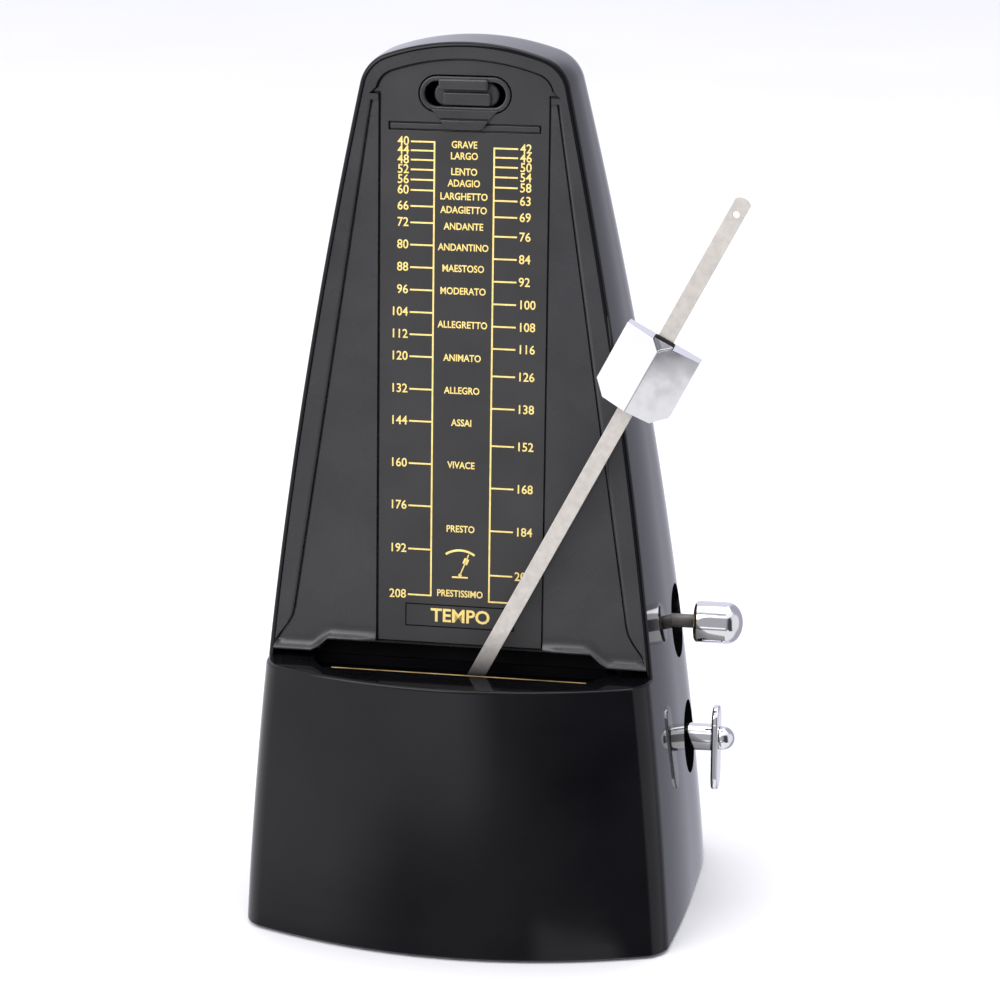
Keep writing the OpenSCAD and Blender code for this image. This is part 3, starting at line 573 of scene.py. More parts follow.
PLATE_HALF = 20.4
PLATE_GAP = 0.5
PLATE_LOW = 74.9
HEAD_LOW = 209.6
HEAD_HALF = 22.6
POCKET_N = -2.45
PANEL_N = -0.25
PANEL_DEPTH = 3.4
PANEL_LOW = 73.9
SLOT_LOW = 70.7
SLOT_HALF = 32.6
SLOT_RUN = 4.2
LIP_AT = 0.95
LIP_SPREAD = 0.8
WING_TOP = 207.6
WING_TOP_HALF = 22.2
WING_SLOPE = 0.150
WING_FLARE = 82
WING_STEP = 0.5
HEAD_INSET = 4.4
POCKET_HALF = 21.9
POCKET_LOW = 74.2
# Groove beside each wing: offsets across it, and heights.
GROOVE = [(0.06, -0.9), (0.14, -1.35), (0.42, -1.35), (0.5, -0.5), (0.6, -0.12), (0.78, 0.0)]


def slot_edge(x):
    """Lower edge of the panel: level at the sides, raised over the slot."""
    return lerp(PANEL_LOW, SLOT_LOW, smooth((abs(x) - SLOT_HALF) / SLOT_RUN))


def wing_line(s, edge):
    """Outer edge of a wing, which flares towards the panel's edge at its foot."""
    line = WING_TOP_HALF + WING_SLOPE * (WING_TOP - s)
    return lerp(line, edge - 0.5, smooth((WING_FLARE - s) / 10) ** 1.4)


def lip(d, x):
    """Height of the rounded lip at distance d above the panel's lower edge."""
    tall = lerp(0.25, 0.95, smooth((abs(x) - 21) / 3))
    edge = 2.2 * math.exp(-((d / 0.28) ** 2))
    return tall * math.exp(-(((d - LIP_AT) / LIP_SPREAD) ** 2)) - edge


# Heights above the panel's lower edge, close together over the lip.
LIP_HEIGHTS = [0, 0.12, 0.28, 0.45, 0.65, 0.85, 1.05, 1.3, 1.6, 2, 2.5, 3.1, 3.8, 4.6, 5.6]
LIP_HEIGHTS += [7 + 2 * i for i in range(8)]
PANEL_ROWS = 20
FAR_FROM_LIP = 50


def panel_half(bm, side, edge):
    """Wing, its step and the border on one side of the scale plate."""

    def border_x(s):
        for p, q in zip(edge, edge[1:]):
            if p.y <= s <= q.y:
                return lerp(p.x, q.x, (s - p.y) / (q.y - p.y))
        return edge[0].x if s < edge[0].y else edge[-1].x

    def place(k, s, d):
        """x and height at s, d above the lower edge. k 0..1 is the wing, 2 and on are
        the points of the groove, and the rest is the border."""
        outer = border_x(s)
        line = wing_line(s, outer)
        if k <= 1:
            x, base = lerp(PLATE_HALF + PLATE_GAP, line, k), -WING_STEP
        else:
            offset, base = GROOVE[min(len(GROOVE), int(k) - 1) - 1]
            x = line + offset
            if k >= 1 + len(GROOVE):
                x = lerp(line + GROOVE[-1][0], outer, k - 1 - len(GROOVE))
        x = min(x, outer)
        return x, base * smooth((d - 1.0) / 3.2) + lip(d, x)

    def column(k):
        points = []
        for d in LIP_HEIGHTS:
            x, _ = place(k, 75, d)
            for _ in range(3):
                s = slot_edge(x) + d
                x, n = place(k, s, d)
            points.append((side * x, s, PANEL_N + n))
        last = points[-1][1]
        for i in range(1, PANEL_ROWS + 1):
            s = lerp(last, WING_TOP, i / PANEL_ROWS)
            x, n = place(k, s, FAR_FROM_LIP)
            points.append((side * x, s, PANEL_N + n))
        x, _ = place(k, WING_TOP + 0.1, FAR_FROM_LIP)
        points.append((side * x, WING_TOP + 0.1, PANEL_N))
        return points

    keys = [i / 14 for i in range(15)] + [2 + i for i in range(len(GROOVE))]
    keys += [1 + len(GROOVE) + i / 7 for i in range(1, 8)]
    columns = [column(k) for k in keys]
    add_grid(bm, [[on_front(*p) for p in c] for c in columns], flip=side < 0)
    return [c[-1][:2] for c in columns]


def head_outline(grow):
    """Arched head of the scale plate, from its right foot to its left foot."""
    right = []
    for p in inset_edge(HEAD_INSET - grow):
        if p.y > HEAD_LOW - grow + 0.3 and p.x < HEAD_HALF + grow:
            right.append((p.x, p.y))
    right.insert(0, (HEAD_HALF + grow, HEAD_LOW - grow))
    return right + [(-x, s) for x, s in reversed(right[:-1])]


def make_panel():
    bm = bmesh.new()
    edge = inset_edge(RIM_W + 0.15)
    right_top = panel_half(bm, 1, edge)
    left_top = panel_half(bm, -1, edge)
    inner = PLATE_HALF + PLATE_GAP
    across = [lerp(-inner, inner, i / 12) for i in range(13)]
    strip = [
        [on_front(x, slot_edge(x) + d, PANEL_N + lip(d, x)) for x in across]
        for d in (0, 0.12, 0.28, 0.45, 0.6)
    ]
    add_grid(bm, strip)
    # Flat area round the head, above the wings.
    over = [(p.x, p.y) for p in edge if p.y > right_top[-1][1] + 0.2]
    loop = list(right_top) + over + [(-x, s) for x, s in reversed(over[:-1])]
    loop += list(reversed(left_top))
    loop += [(-inner, HEAD_LOW - PLATE_GAP)]
    loop += list(reversed(head_outline(PLATE_GAP)))
    loop += [(inner, HEAD_LOW - PLATE_GAP)]
    bm.faces.new([bm.verts.new(on_front(x, s, PANEL_N)) for x, s in loop])
    bmesh.ops.remove_doubles(bm, verts=bm.verts, dist=2e-3)
    # Walls that run back from every free edge.
    rim = [e for e in bm.edges if e.is_boundary]
    made = bmesh.ops.extrude_edge_only(bm, edges=rim)["geom"]
    out = Vector((0, -math.cos(LEAN), math.sin(LEAN)))
    for v in made:
        if isinstance(v, bmesh.types.BMVert):
            n = (v.co - on_front(0, 0)).dot(out)
            v.co += out * (-PANEL_DEPTH - n)
    obj = from_bmesh("front_panel", bm)
    finish_mesh(obj, 28)
    foot = [
        (-POCKET_HALF, HEAD_LOW - 1),
        (-POCKET_HALF, POCKET_LOW),
        (POCKET_HALF, POCKET_LOW),
        (POCKET_HALF, HEAD_LOW - 1),
    ]
    outlines = [head_outline(1.0) + foot, stadium(*HOLE_HALF, (0, LATCH_S))]
    floor = slab("pocket_floor", outlines, POCKET_N - 0.8, POCKET_N - 0.02, 0.05, FRONT)
    obj = join("front_panel", [apply_modifiers(obj), floor])
    finish_mesh(obj, 28, weighted=False)
    return obj


# ---- Scale plate, clip and print ----

LATCH_S = 209.4
HOLE_HALF = (11.3, 4.5)
SLIT = (-18.5, 200.5, 18.5, 202.6)
PLATE_N = -1.15


def make_slit_bar():
    x0, s0, x1, s1 = SLIT
    gap = 0.38
    box = rounded_box(x0 + gap, s0 + gap, x1 - gap, s1 - gap, 0.3, 3)
    return slab("slit_bar", [box], POCKET_N, PLATE_N - 0.1, 0.2, FRONT)


def make_plate():
    outline = head_outline(0) + [
        (-PLATE_HALF, HEAD_LOW),
        (-PLATE_HALF, PLATE_LOW),
        (PLATE_HALF, PLATE_LOW),
        (PLATE_HALF, HEAD_LOW),
    ]
    holes = [stadium(*HOLE_HALF, (0, LATCH_S)), rounded_box(*SLIT, 0.2, 2)]
    return slab("scale_panel", [outline] + holes, POCKET_N, PLATE_N, 0.12, FRONT)


def make_clip():
    """Clip that holds the rod's tip: rim, body, bar and tab."""
    centre = (0, LATCH_S)
    wide, high = HOLE_HALF
    low = LATCH_S - high
    rim = [stadium(wide - 0.3, high - 0.3, centre), stadium(wide - 1.5, high - 1.5, centre)]
    body = stadium(7.9, 3.0, (0.2, LATCH_S - 0.1))
    bar = rounded_box(-6.2, LATCH_S + 1.1, 5.7, LATCH_S + 3.7, 0.5)
    cradle = rounded_box(-5.4, LATCH_S - 2.7, 6.2, LATCH_S + 0.5, 0.6)
    neck = mirrored([(6.1, low - 1.3), (7.2, low), (8.4, low + 0.9)])
    tab = mirrored([(3.7, low - 3.9), (4.6, low - 3.4), (6.0, low - 1.6)])
    # Name, outlines, lowest and highest point, and edge radius.
    layers = [
        ("rim", rim, -3.2, -0.9, 0.35),
        ("body", [body], -6, -2.3, 0.5),
        ("bar", [bar], -2.4, 0.3, 0.5),
        ("cradle", [cradle], -2.6, -1.0, 0.45),
        ("neck", [neck], -1.14, -0.45, 0.3),
        ("tab", [tab], -1.14, -0.1, 0.35),
    ]
    obj = join("rod_latch", [slab(*layer, FRONT, 5) for layer in layers])
    finish_mesh(obj, 35, weighted=False)
    return obj


PIVOT_S = 58.4
PIVOT_N = 5.0
# A pendulum with one fixed and one sliding weight: the beats a minute at a weight
# radius r are BEAT_K * sqrt((BEAT_B - r) / (BEAT_A + r * r)).
BEAT_K = 2098
BEAT_B = 150.8
BEAT_A = 11659
LEFT_BEATS = [40, 44, 48, 52, 56, 60, 66, 72, 80, 88, 96, 104, 112, 120, 132, 144, 160, 176]
LEFT_BEATS += [192, 208]
RIGHT_BEATS = [42, 46, 50, 54, 58, 63, 69, 76, 84, 92, 100, 108, 116, 126, 138, 152, 168, 184]
RIGHT_BEATS += [200]
# The right line ends in a bare mark, without a number.
LAST_MARK = 209
TEMPO_WORDS = {
    "GRAVE": 41, "LARGO": 46, "LENTO": 52.5, "ADAGIO": 57, "LARGHETTO": 62,
    "ADAGIETTO": 67, "ANDANTE": 73, "ANDANTINO": 80.5, "MAESTOSO": 88, "MODERATO": 96,
    "ALLEGRETTO": 108, "ANIMATO": 120, "ALLEGRO": 132, "ASSAI": 144, "VIVACE": 160,
    "PRESTO": 184, "PRESTISSIMO": 207,
}
LINE_X = 7.05
TICK_END = 13.0
LINE_W = 0.4
NUMBER_SIZE = 3.05
WORD_SIZE = 2.35
BADGE_S = 81.7
BADGE_HALF = (13.6, 2.9)
MARK_S = 95.6
MARK_SIZE = 4.2
PRINT_N = PLATE_N + 0.015
PRINT_T = 0.03


def beat_s(beats):
    q = (beats / BEAT_K) ** 2
    return PIVOT_S + (-1 + math.sqrt(1 - 4 * q * (q * BEAT_A - BEAT_B))) / (2 * q)


def strokes(name, boxes):
    """Thin printed rectangles (x0, s0, x1, s1) on the plate."""
    bm = bmesh.new()
    for x0, s0, x1, s1 in boxes:
        corners = ((x0, s0), (x1, s0), (x1, s1), (x0, s1))
        low = [bm.verts.new(on_front(x, s, PRINT_N - PRINT_T)) for x, s in corners]
        top = [bm.verts.new(on_front(x, s, PRINT_N)) for x, s in corners]
        bm.faces.new(top)
        for i in range(4):
            bm.faces.new((low[i], low[(i + 1) % 4], top[(i + 1) % 4], top[i]))
    bmesh.ops.recalc_face_normals(bm, faces=bm.faces)
    bm.transform(Matrix.Scale(MM, 4))
    mesh = bpy.data.meshes.new(name)
    bm.to_mesh(mesh)
    bm.free()
    return link(name, mesh)


def word(text, x, s, size, align, narrow=0.9, weight=0.0):
    """A printed word or number, centred on s."""
    curve = bpy.data.curves.new("word", "FONT")
    curve.body = text
    curve.size = size * MM
    curve.align_x = align
    curve.align_y = "CENTER"
    curve.extrude = PRINT_T / 2 * MM
    curve.offset = weight * MM
    curve.resolution_u = 3
    obj = link("word", curve)
    place = FRONT.copy()
    place.translation = on_front(x, s, PRINT_N - PRINT_T / 2) * MM
    obj.matrix_world = place @ Matrix.Scale(narrow, 4, (1, 0, 0))
    return apply_modifiers(obj)


def scale_side(side, beats):
    """Line along one side of the scale, with a mark at each number of beats."""
    low, top = beat_s(beats[-1]), beat_s(beats[0])
    a, b = sorted((side * LINE_X, side * (LINE_X + LINE_W)))
    boxes = [(a, low - LINE_W / 2, b, top + LINE_W / 2)]
    a, b = sorted((side * (LINE_X + LINE_W), side * TICK_END))
    for n in beats:
        boxes.append((a, beat_s(n) - LINE_W / 2, b, beat_s(n) + LINE_W / 2))
    return boxes


def numbers(beats, x, align):
    return [word(str(n), x, beat_s(n), NUMBER_SIZE, align, 0.94, 0.035) for n in beats]


def make_print():
    lines = scale_side(-1, LEFT_BEATS) + scale_side(1, RIGHT_BEATS + [LAST_MARK])
    left = numbers(LEFT_BEATS, -TICK_END - 0.4, "RIGHT")
    right = numbers(RIGHT_BEATS, TICK_END + 0.5, "LEFT")
    words = [
        word(text, 0, beat_s(beats), WORD_SIZE, "CENTER", 0.86, 0.045)
        for text, beats in TEMPO_WORDS.items()
    ]
    badge = word("TEMPO", 0.2, BADGE_S, 4.6, "CENTER", 1.0, 0.1)
    return [
        strokes("scale_lines", lines),
        join("scale_numbers", left + right),
        join("scale_words", words),
        join("badge_word", [badge, pendulum_mark()]),
    ]


def pendulum_mark():
    """Plain ornament: a pendulum in its arc, with its weight."""
    size = MARK_SIZE
    low = MARK_S - size * 0.8
    lean = math.radians(68)
    start = Vector((0, low))
    along = Vector((math.cos(lean), math.sin(lean)))
    across = Vector((-math.sin(lean), math.cos(lean)))

    def bar(a, b, w):
        corners = ((a, -w), (b, -w), (b, w), (a, w))
        return [start + along * u + across * v for u, v in corners]

    parts = [
        arc((0, low), size * 1.55, 55, 125, 16) + arc((0, low), size * 1.42, 125, 55, 16),
        bar(0, size * 1.35, 0.14),
        bar(size * 0.72, size * 1.08, 0.62),
        rounded_box(-2.0, low - 0.75, 2.0, low - 0.35, 0.15, 2),
        arc((0, low), 0.42, 0, 345, 18),
    ]
    thin = (PRINT_N - PRINT_T, PRINT_N, 0.004)
    return join("mark", [slab("mark", [points], *thin, FRONT, 1) for points in parts])


def make_badge_frame():
    """Thin dark outline round the badge."""
    x, high = BADGE_HALF
    s0, s1, w = BADGE_S - high, BADGE_S + high, 0.3
    return strokes(
        "badge_frame",
        [(-x, s0, x, s0 + w), (-x, s1 - w, x, s1), (-x, s0, -x + w, s1), (x - w, s0, x, s1)],
    )


# ---- Pendulum ----

SWING = math.radians(27.7)
ROD = FRONT @ Matrix.Translation((0, PIVOT_S, PIVOT_N)) @ Matrix.Rotation(-SWING, 4, "Z")
ROD_HALF = 2.0
ROD_TIP = 146.0
ROD_LOW = -41.0
WEIGHT_R = 98.0


def make_rod():
    """Flat strip with a round eye at the pivot, an arched tip and a small hole."""
    tip, eye = 2.8, 4.2
    half = math.degrees(math.asin(ROD_HALF / tip))
    outline = (
        [(-ROD_HALF, ROD_LOW), (-1.99, -eye)]
        + arc((0, 0), 4, 240, 120, 14)
        + [(-ROD_HALF, eye)]
        + arc((0, ROD_TIP - tip), tip, 90 + half, 90 - half, 10)
        + [(ROD_HALF, eye)]
        + arc((0, 0), 4, 60, -60, 14)
        + [(1.99, -eye), (ROD_HALF, ROD_LOW)]
    )
    hole = arc((0, ROD_TIP - 4.2), 0.85, 0, 345, 23)
    return slab("pendulum_strip", [outline, hole], -0.5, 0.5, 0.1, ROD)


def solid_prism(bm, points, low, high, across="z"):
    """Closed prism of a polygon, drawn in x and y, or in x and z where it runs along
    y, or in y and z where it runs along x."""
    order = {"z": (0, 1, 2), "y": (0, 2, 1), "x": (2, 0, 1)}[across]

    def corner(p, end):
        values = (p[0], p[1], end)
        return bm.verts.new([values[i] for i in order])

    ends = [[corner(p, end) for p in points] for end in (low, high)]
    bm.faces.new(ends[0])
    bm.faces.new(ends[1][::-1])
    for i in range(len(points)):
        j = (i + 1) % len(points)
        bm.faces.new((ends[0][j], ends[0][i], ends[1][i], ends[1][j]))


def cutter(points, low, high, transform, across="z"):
    bm = bmesh.new()
    solid_prism(bm, points, low, high, across)
    return from_bmesh("cutter", bm, transform=transform)


def cut(obj, tools):
    for tool in tools:
        mod = obj.modifiers.new("cut", "BOOLEAN")
        mod.operation = "DIFFERENCE"
        mod.solver = "EXACT"
        mod.object = tool
    obj = apply_modifiers(obj)
    for tool in tools:
        bpy.data.objects.remove(tool)
    return obj


WEIGHT_HALF = 9.75
WEIGHT_HIGH = 9.2
WEIGHT_BACK = -3.6
WEIGHT_CREASE = 4.95


def make_weight():
    """Weight with a creased front, cut corners, a notch and a passage for the rod."""
    half, high = WEIGHT_HALF, WEIGHT_HIGH
    front = mirrored([(0.12, WEIGHT_CREASE), (half, 2.0)])[::-1]
    section = [(-half, WEIGHT_BACK), (half, WEIGHT_BACK)] + front
    place = ROD @ Matrix.Translation((0, WEIGHT_R, 0))
    bm = bmesh.new()
    solid_prism(bm, section, -high, high, "y")
    obj = from_bmesh("chrome_weight", bm, transform=place)
    tools = []
    for side in (-1, 1):
        corner = [
            (side * (half + 3), -high - 3),
            (side * (half - 3.9), -high - 3),
            (side * (half - 3.4), -high),
            (side * half, -high + 3.2),
            (side * (half + 3), -high + 3.2),
        ]
        tools.append(cutter(corner, -9, 9, place))
    notch = [(-3.4, high + 0.8), (0, high - 2.1), (3.4, high + 0.8)]
    passage = [(-2.3, -0.75), (2.3, -0.75), (2.3, 0.7), (-2.3, 0.7)]
    spring_room = [(-6, -7), (6, -7), (6, 7), (-6, 7)]
    tools.append(cutter(notch, 1.3, 9, place))
    tools.append(cutter(passage, -20, 20, place, "y"))
    tools.append(cutter(spring_room, -2.6, 2.2, place))
    obj = cut(obj, tools)
    mod = obj.modifiers.new("round", "BEVEL")
    mod.width = 0.38 * MM
    mod.segments = 4
    mod.limit_method = "ANGLE"
    mod.angle_limit = math.radians(12)
    obj = apply_modifiers(obj)
    finish_mesh(obj, 40)
    return obj


def make_clip_end():
    """Dark end of the spring clip, in the notch at the top of the weight: partly the clip's own
    dark steel, partly a painted shade for the dark notch.
    """
    outline = rounded_box(-2.7, WEIGHT_R + 6.4, 2.7, WEIGHT_R + 10.1, 0.5)
    return slab("clip_end_painted_shade", [outline], 0.56, 1.25, 0.2, ROD)


# ---- Key and selector knob ----

KEY = Matrix.Translation((0, 12, 40))
SELECTOR = Matrix.Translation((0, 9, 72))
SLEEVE_X = 41.2
WING_X = 58.2
WING_T = 1.7
KNOB_X = 53.4


def dome(start, radius, height, steps=16):
    """Profile of a dome that ends on the axis."""
    return [
        (start + height * math.sin(math.pi / 2 * i / steps),
         radius * math.cos(math.pi / 2 * i / steps))
        for i in range(steps + 1)
    ]


def make_knob():
    r, fillet = 5.3, 1.0
    profile = [(KNOB_X, 1.78), (KNOB_X, r - fillet)]
    profile += arc((KNOB_X + fillet, r - fillet), fillet, 180, 90, 8)
    profile += [(KNOB_X + 4, r), (KNOB_X + 8.2, r)] + dome(KNOB_X + 8.3, r, 3.9)
    return lathe("knob_chrome", profile, SELECTOR)


def make_sleeve():
    r, groove = 3.5, 48.4
    profile = [(SLEEVE_X, 2.05), (SLEEVE_X, 3.2), (SLEEVE_X + 0.3, r)]
    profile += [(groove, r), (groove + 0.2, r - 0.25), (groove + 0.9, r - 0.25), (groove + 1.1, r)]
    profile += [(WING_X - 0.3, r), (WING_X, r - 0.3), (WING_X, 1.6)]
    return lathe("key_tube", profile, KEY)


def make_cap():
    r, x = 3.1, WING_X + WING_T
    profile = [(x - 0.02, 1.6), (x, r - 0.25), (x + 0.12, r - 0.06), (x + 0.8, r)]
    profile += dome(x + 0.8, r, 3.1)
    return lathe("key_button", profile, KEY)


def make_key_wing():
    half, up, down = 4.2, 8.7, 13.9
    outline = arc((0, up - half), half, 0, 180, 24) + arc((0, half - down), half, 180, 360, 24)
    # The outline's x runs towards -Y and its y runs up, so that the plate faces +X.
    turn = KEY @ Matrix.Translation((WING_X, 0, 0)) @ Matrix(
        ((0, 0, 1, 0), (1, 0, 0, 0), (0, 1, 0, 0), (0, 0, 0, 1))
    )
    return slab("key_bar", [outline], 0, WING_T, 0.5, turn, 6)


def make_slot_shade():
    """Dark wall behind the pendulum's slot: partly an inner rib of the case, partly a painted
    shade that makes the slot look dark inside.
    """
    turn = Matrix.Translation((0, -24.6, 0)) @ Matrix(
        ((1, 0, 0, 0), (0, 0, 1, 0), (0, 1, 0, 0), (0, 0, 0, 1))
    )
    return slab("slot_shade", [rounded_box(-36, 62.4, 36, 77, 1)], -0.4, 0.4, 0.1, turn)


def make_slot_trim():
    """Bright edge of the movement's front plate, along the front of the slot."""
    bm = bmesh.new()
    section = [(-0.2, -2.2), (0.2, -2.2), (0.2, 0.0), (0.1, 0.12), (-0.1, 0.12), (-0.2, 0.0)]
    solid_prism(bm, section, -30.4, 32.8, "x")
    place = Matrix.Translation((0, SLOT_FRONT + 0.22, LEDGE_Z))
    obj = from_bmesh("slot_trim", bm, transform=place)
    finish_mesh(obj)
    return obj


# ---- Materials ----


class Look:
    """Builds one node material round a Principled shader."""

    def __init__(self, name, **settings):
        self.mat = bpy.data.materials.new(name)
        self.mat.use_nodes = True
        self.tree = self.mat.node_tree
        self.bsdf = self.tree.nodes["Principled BSDF"]
        for key, value in settings.items():
            self.bsdf.inputs[key.replace("_", " ")].default_value = value
        self.coords = self.tree.nodes.new("ShaderNodeTexCoord").outputs["Object"]
        self.normal = None

    def node(self, kind, **inputs):
        n = self.tree.nodes.new(kind)
        for key, value in inputs.items():
            n.inputs[key.replace("_", " ")].default_value = value
        return n

    def noise(self, scale, detail=3.0, stretch=(1, 1, 1), rotation=(0, 0, 0)):
        mapping = self.node("ShaderNodeMapping", Scale=stretch, Rotation=rotation)
        self.tree.links.new(self.coords, mapping.inputs["Vector"])
        n = self.node("ShaderNodeTexNoise", Scale=scale, Detail=detail)
        self.tree.links.new(mapping.outputs["Vector"], n.inputs["Vector"])
        return n.outputs["Fac"]

    def ramp(self, fac, low, high, start=0.3, end=0.7):
        """A colour or grey level that follows fac."""
        n = self.node("ShaderNodeValToRGB")
        wide = [v if isinstance(v, tuple) else (v, v, v) for v in (low, high)]
        for element, value, at in zip(n.color_ramp.elements, wide, (start, end)):
            element.position = at
            element.color = (*value, 1)
        self.tree.links.new(fac, n.inputs["Fac"])
        return n.outputs["Color"]

    def to(self, socket, output):
        self.tree.links.new(output, self.bsdf.inputs[socket])

    def colour(self, noise, dark, light):
        self.to("Base Color", self.ramp(noise, dark, light))

    def roughness(self, noise, low, high):
        self.to("Roughness", self.ramp(noise, low, high))

    def bump(self, fac, strength, distance):
        n = self.node("ShaderNodeBump", Strength=strength, Distance=distance)
        self.tree.links.new(fac, n.inputs["Height"])
        if self.normal:
            self.tree.links.new(self.normal, n.inputs["Normal"])
        self.normal = n.outputs["Normal"]
        self.to("Normal", self.normal)


def gloss_black():
    look = Look("gloss_black_abs", IOR=1.5, Specular_IOR_Level=0.24)
    look.colour(look.noise(35, 4), (0.0025, 0.0025, 0.0032), (0.006, 0.006, 0.007))
    look.roughness(look.noise(90, 5), 0.035, 0.075)
    look.bump(look.noise(22, 1), 0.10, 0.0006)
    look.bump(look.noise(2600, 2), 0.03, 0.00002)
    return look.mat


def satin_black():
    look = Look("satin_black_abs", IOR=1.5, Specular_IOR_Level=0.55)
    look.colour(look.noise(60, 4), (0.021, 0.021, 0.0225), (0.031, 0.031, 0.033))
    look.roughness(look.noise(140, 4), 0.24, 0.32)
    look.bump(look.noise(2400, 3), 0.16, 0.00003)
    return look.mat


def flat_black():
    look = Look("flat_black_abs", Specular_IOR_Level=0.08)
    look.colour(look.noise(60, 4), (0.002, 0.002, 0.002), (0.005, 0.005, 0.005))
    look.roughness(look.noise(140, 4), 0.7, 0.9)
    look.bump(look.noise(900, 3), 0.2, 0.00005)
    return look.mat


def scale_black():
    look = Look("scale_black_print", IOR=1.5, Specular_IOR_Level=0.45)
    look.colour(look.noise(50, 4), (0.024, 0.0235, 0.0235), (0.034, 0.033, 0.033))
    look.roughness(look.noise(160, 4), 0.3, 0.38)
    look.bump(look.noise(3000, 3), 0.12, 0.00002)
    return look.mat


def gold_print():
    look = Look("gold_print", Metallic=0.25, Specular_IOR_Level=0.4)
    look.colour(look.noise(900, 4), (0.86, 0.63, 0.17), (0.97, 0.78, 0.29))
    look.roughness(look.noise(500, 3), 0.36, 0.5)
    look.bump(look.noise(4000, 2), 0.15, 0.00001)
    return look.mat


def chrome():
    look = Look("chrome_plate", Metallic=1.0)
    look.colour(look.noise(60, 3), (0.77, 0.77, 0.79), (0.83, 0.83, 0.85))
    look.roughness(look.noise(300, 5), 0.03, 0.09)
    look.bump(look.noise(55, 2), 0.05, 0.0004)
    return look.mat


# The rod's colour is painted near black below the first height and left plain above the second: a
# painted dark reflection of the slot under it.
PAINTED_SHADE_FULL_Z = 0.0695
PAINTED_SHADE_END_Z = 0.081
# A colour mix takes its factor, then its two colours at these inputs.
MIX_A = 6
MIX_B = 7


def nickel():
    look = Look("satin_nickel", Metallic=0.3)
    plate = look.ramp(look.noise(600, 6), (0.5, 0.465, 0.42), (0.61, 0.572, 0.52))
    axes = look.node("ShaderNodeSeparateXYZ")
    look.tree.links.new(look.coords, axes.inputs["Vector"])
    unshaded_share = look.node("ShaderNodeMapRange", From_Min=PAINTED_SHADE_FULL_Z, From_Max=PAINTED_SHADE_END_Z)
    look.tree.links.new(axes.outputs["Z"], unshaded_share.inputs["Value"])
    # Painted dark reflection of the slot on the rod's lowest part, mixed over the plate colour.
    painted_slot_reflection = look.node("ShaderNodeMix")
    painted_slot_reflection.data_type = "RGBA"
    painted_slot_reflection.inputs[MIX_A].default_value = (0.012, 0.011, 0.01, 1)
    look.tree.links.new(unshaded_share.outputs["Result"], painted_slot_reflection.inputs["Factor"])
    look.tree.links.new(plate, painted_slot_reflection.inputs[MIX_B])
    look.to("Base Color", painted_slot_reflection.outputs[2])
    grain = look.noise(700, 4, stretch=(1, 1, 0.06), rotation=(0, SWING, 0))
    look.roughness(grain, 0.28, 0.46)
    look.bump(grain, 0.2, 0.00004)
    # Less metallic where the dark reflection is painted.
    look.to("Metallic", look.ramp(unshaded_share.outputs["Result"], 0.0, 0.3, 0.0, 1.0))
    return look.mat


def metal(name, dark, light, rough, scale=240):
    look = Look(name, Metallic=1.0)
    look.colour(look.noise(scale / 4, 4), dark, light)
    look.roughness(look.noise(scale, 4), *rough)
    look.bump(look.noise(scale * 4, 3), 0.15, 0.00003)
    return look.mat


def rubber():
    look = Look("soft_rubber", Specular_IOR_Level=0.3)
    look.colour(look.noise(120, 4), (0.016, 0.016, 0.016), (0.03, 0.03, 0.03))
    look.roughness(look.noise(300, 4), 0.7, 0.88)
    look.bump(look.noise(1500, 4), 0.3, 0.00008)
    return look.mat


def floor_look():
    look = Look("pale_floor", Specular_IOR_Level=0.2)
    look.colour(look.noise(3, 2), (0.86, 0.86, 0.855), (0.89, 0.89, 0.885))
    look.roughness(look.noise(8, 3), 0.7, 0.8)
    return look.mat


LOOKS = {
    "gloss_black": gloss_black(),
    "satin_black": satin_black(),
    "flat_black": flat_black(),
    "scale_black": scale_black(),
    "gold": gold_print(),
    "chrome": chrome(),
    "nickel": nickel(),
    "brass": metal("brass_sheet", (0.55, 0.36, 0.12), (0.72, 0.5, 0.2), (0.2, 0.34)),
    "steel": metal("turned_steel", (0.42, 0.42, 0.42), (0.55, 0.55, 0.55), (0.2, 0.34)),
    "aged_brass": metal("aged_brass", (0.13, 0.09, 0.04), (0.36, 0.25, 0.11), (0.3, 0.5), 900),
    "dark_steel": metal("oiled_steel", (0.03, 0.03, 0.035), (0.07, 0.07, 0.075), (0.35, 0.5)),
    "spring_steel": metal("blued_steel", (0.16, 0.18, 0.24), (0.3, 0.32, 0.38), (0.22, 0.36)),
    "zinc": metal("cast_zinc", (0.2, 0.2, 0.21), (0.32, 0.32, 0.33), (0.4, 0.6), 120),
    "rubber": rubber(),
}


def wear(obj, look):
    obj.data.materials.clear()
    obj.data.materials.append(LOOKS[look])


# ---- Build ----

for entry in frame["record"]["subparts"]:
    wear(frame["nodes"][entry["node"]], entry["material_slot"])


def piece(obj, body, look, *replaced, slot=None):
    """Gives a visible piece its look and its body, and hides the CAD nodes it stands for."""
    wear(obj, look)
    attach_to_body(obj, body)
    if replaced:
        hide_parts(*replaced)


piece(make_shell(), "case", "gloss_black", "main_shell")
piece(make_panel(), "case", "satin_black", "front_frame")
piece(make_plate(), "case", "scale_black", "scale_plate")
piece(make_slit_bar(), "case", "scale_black")
piece(make_clip(), "case", "satin_black", "rod_clip")
piece(make_slot_trim(), "case", "aged_brass", slot="brass")
# Flat black, darker than the case, as painted shade in the slot.
piece(make_slot_shade(), "case", "flat_black", slot="satin_black")
for printed in make_print():
    piece(printed, "case", "gold", slot="scale_black")
piece(make_badge_frame(), "case", "flat_black", slot="scale_black")
piece(make_rod(), "pendulum", "nickel", "pendulum_rod")
piece(make_weight(), "weight", "chrome", "sliding_weight")
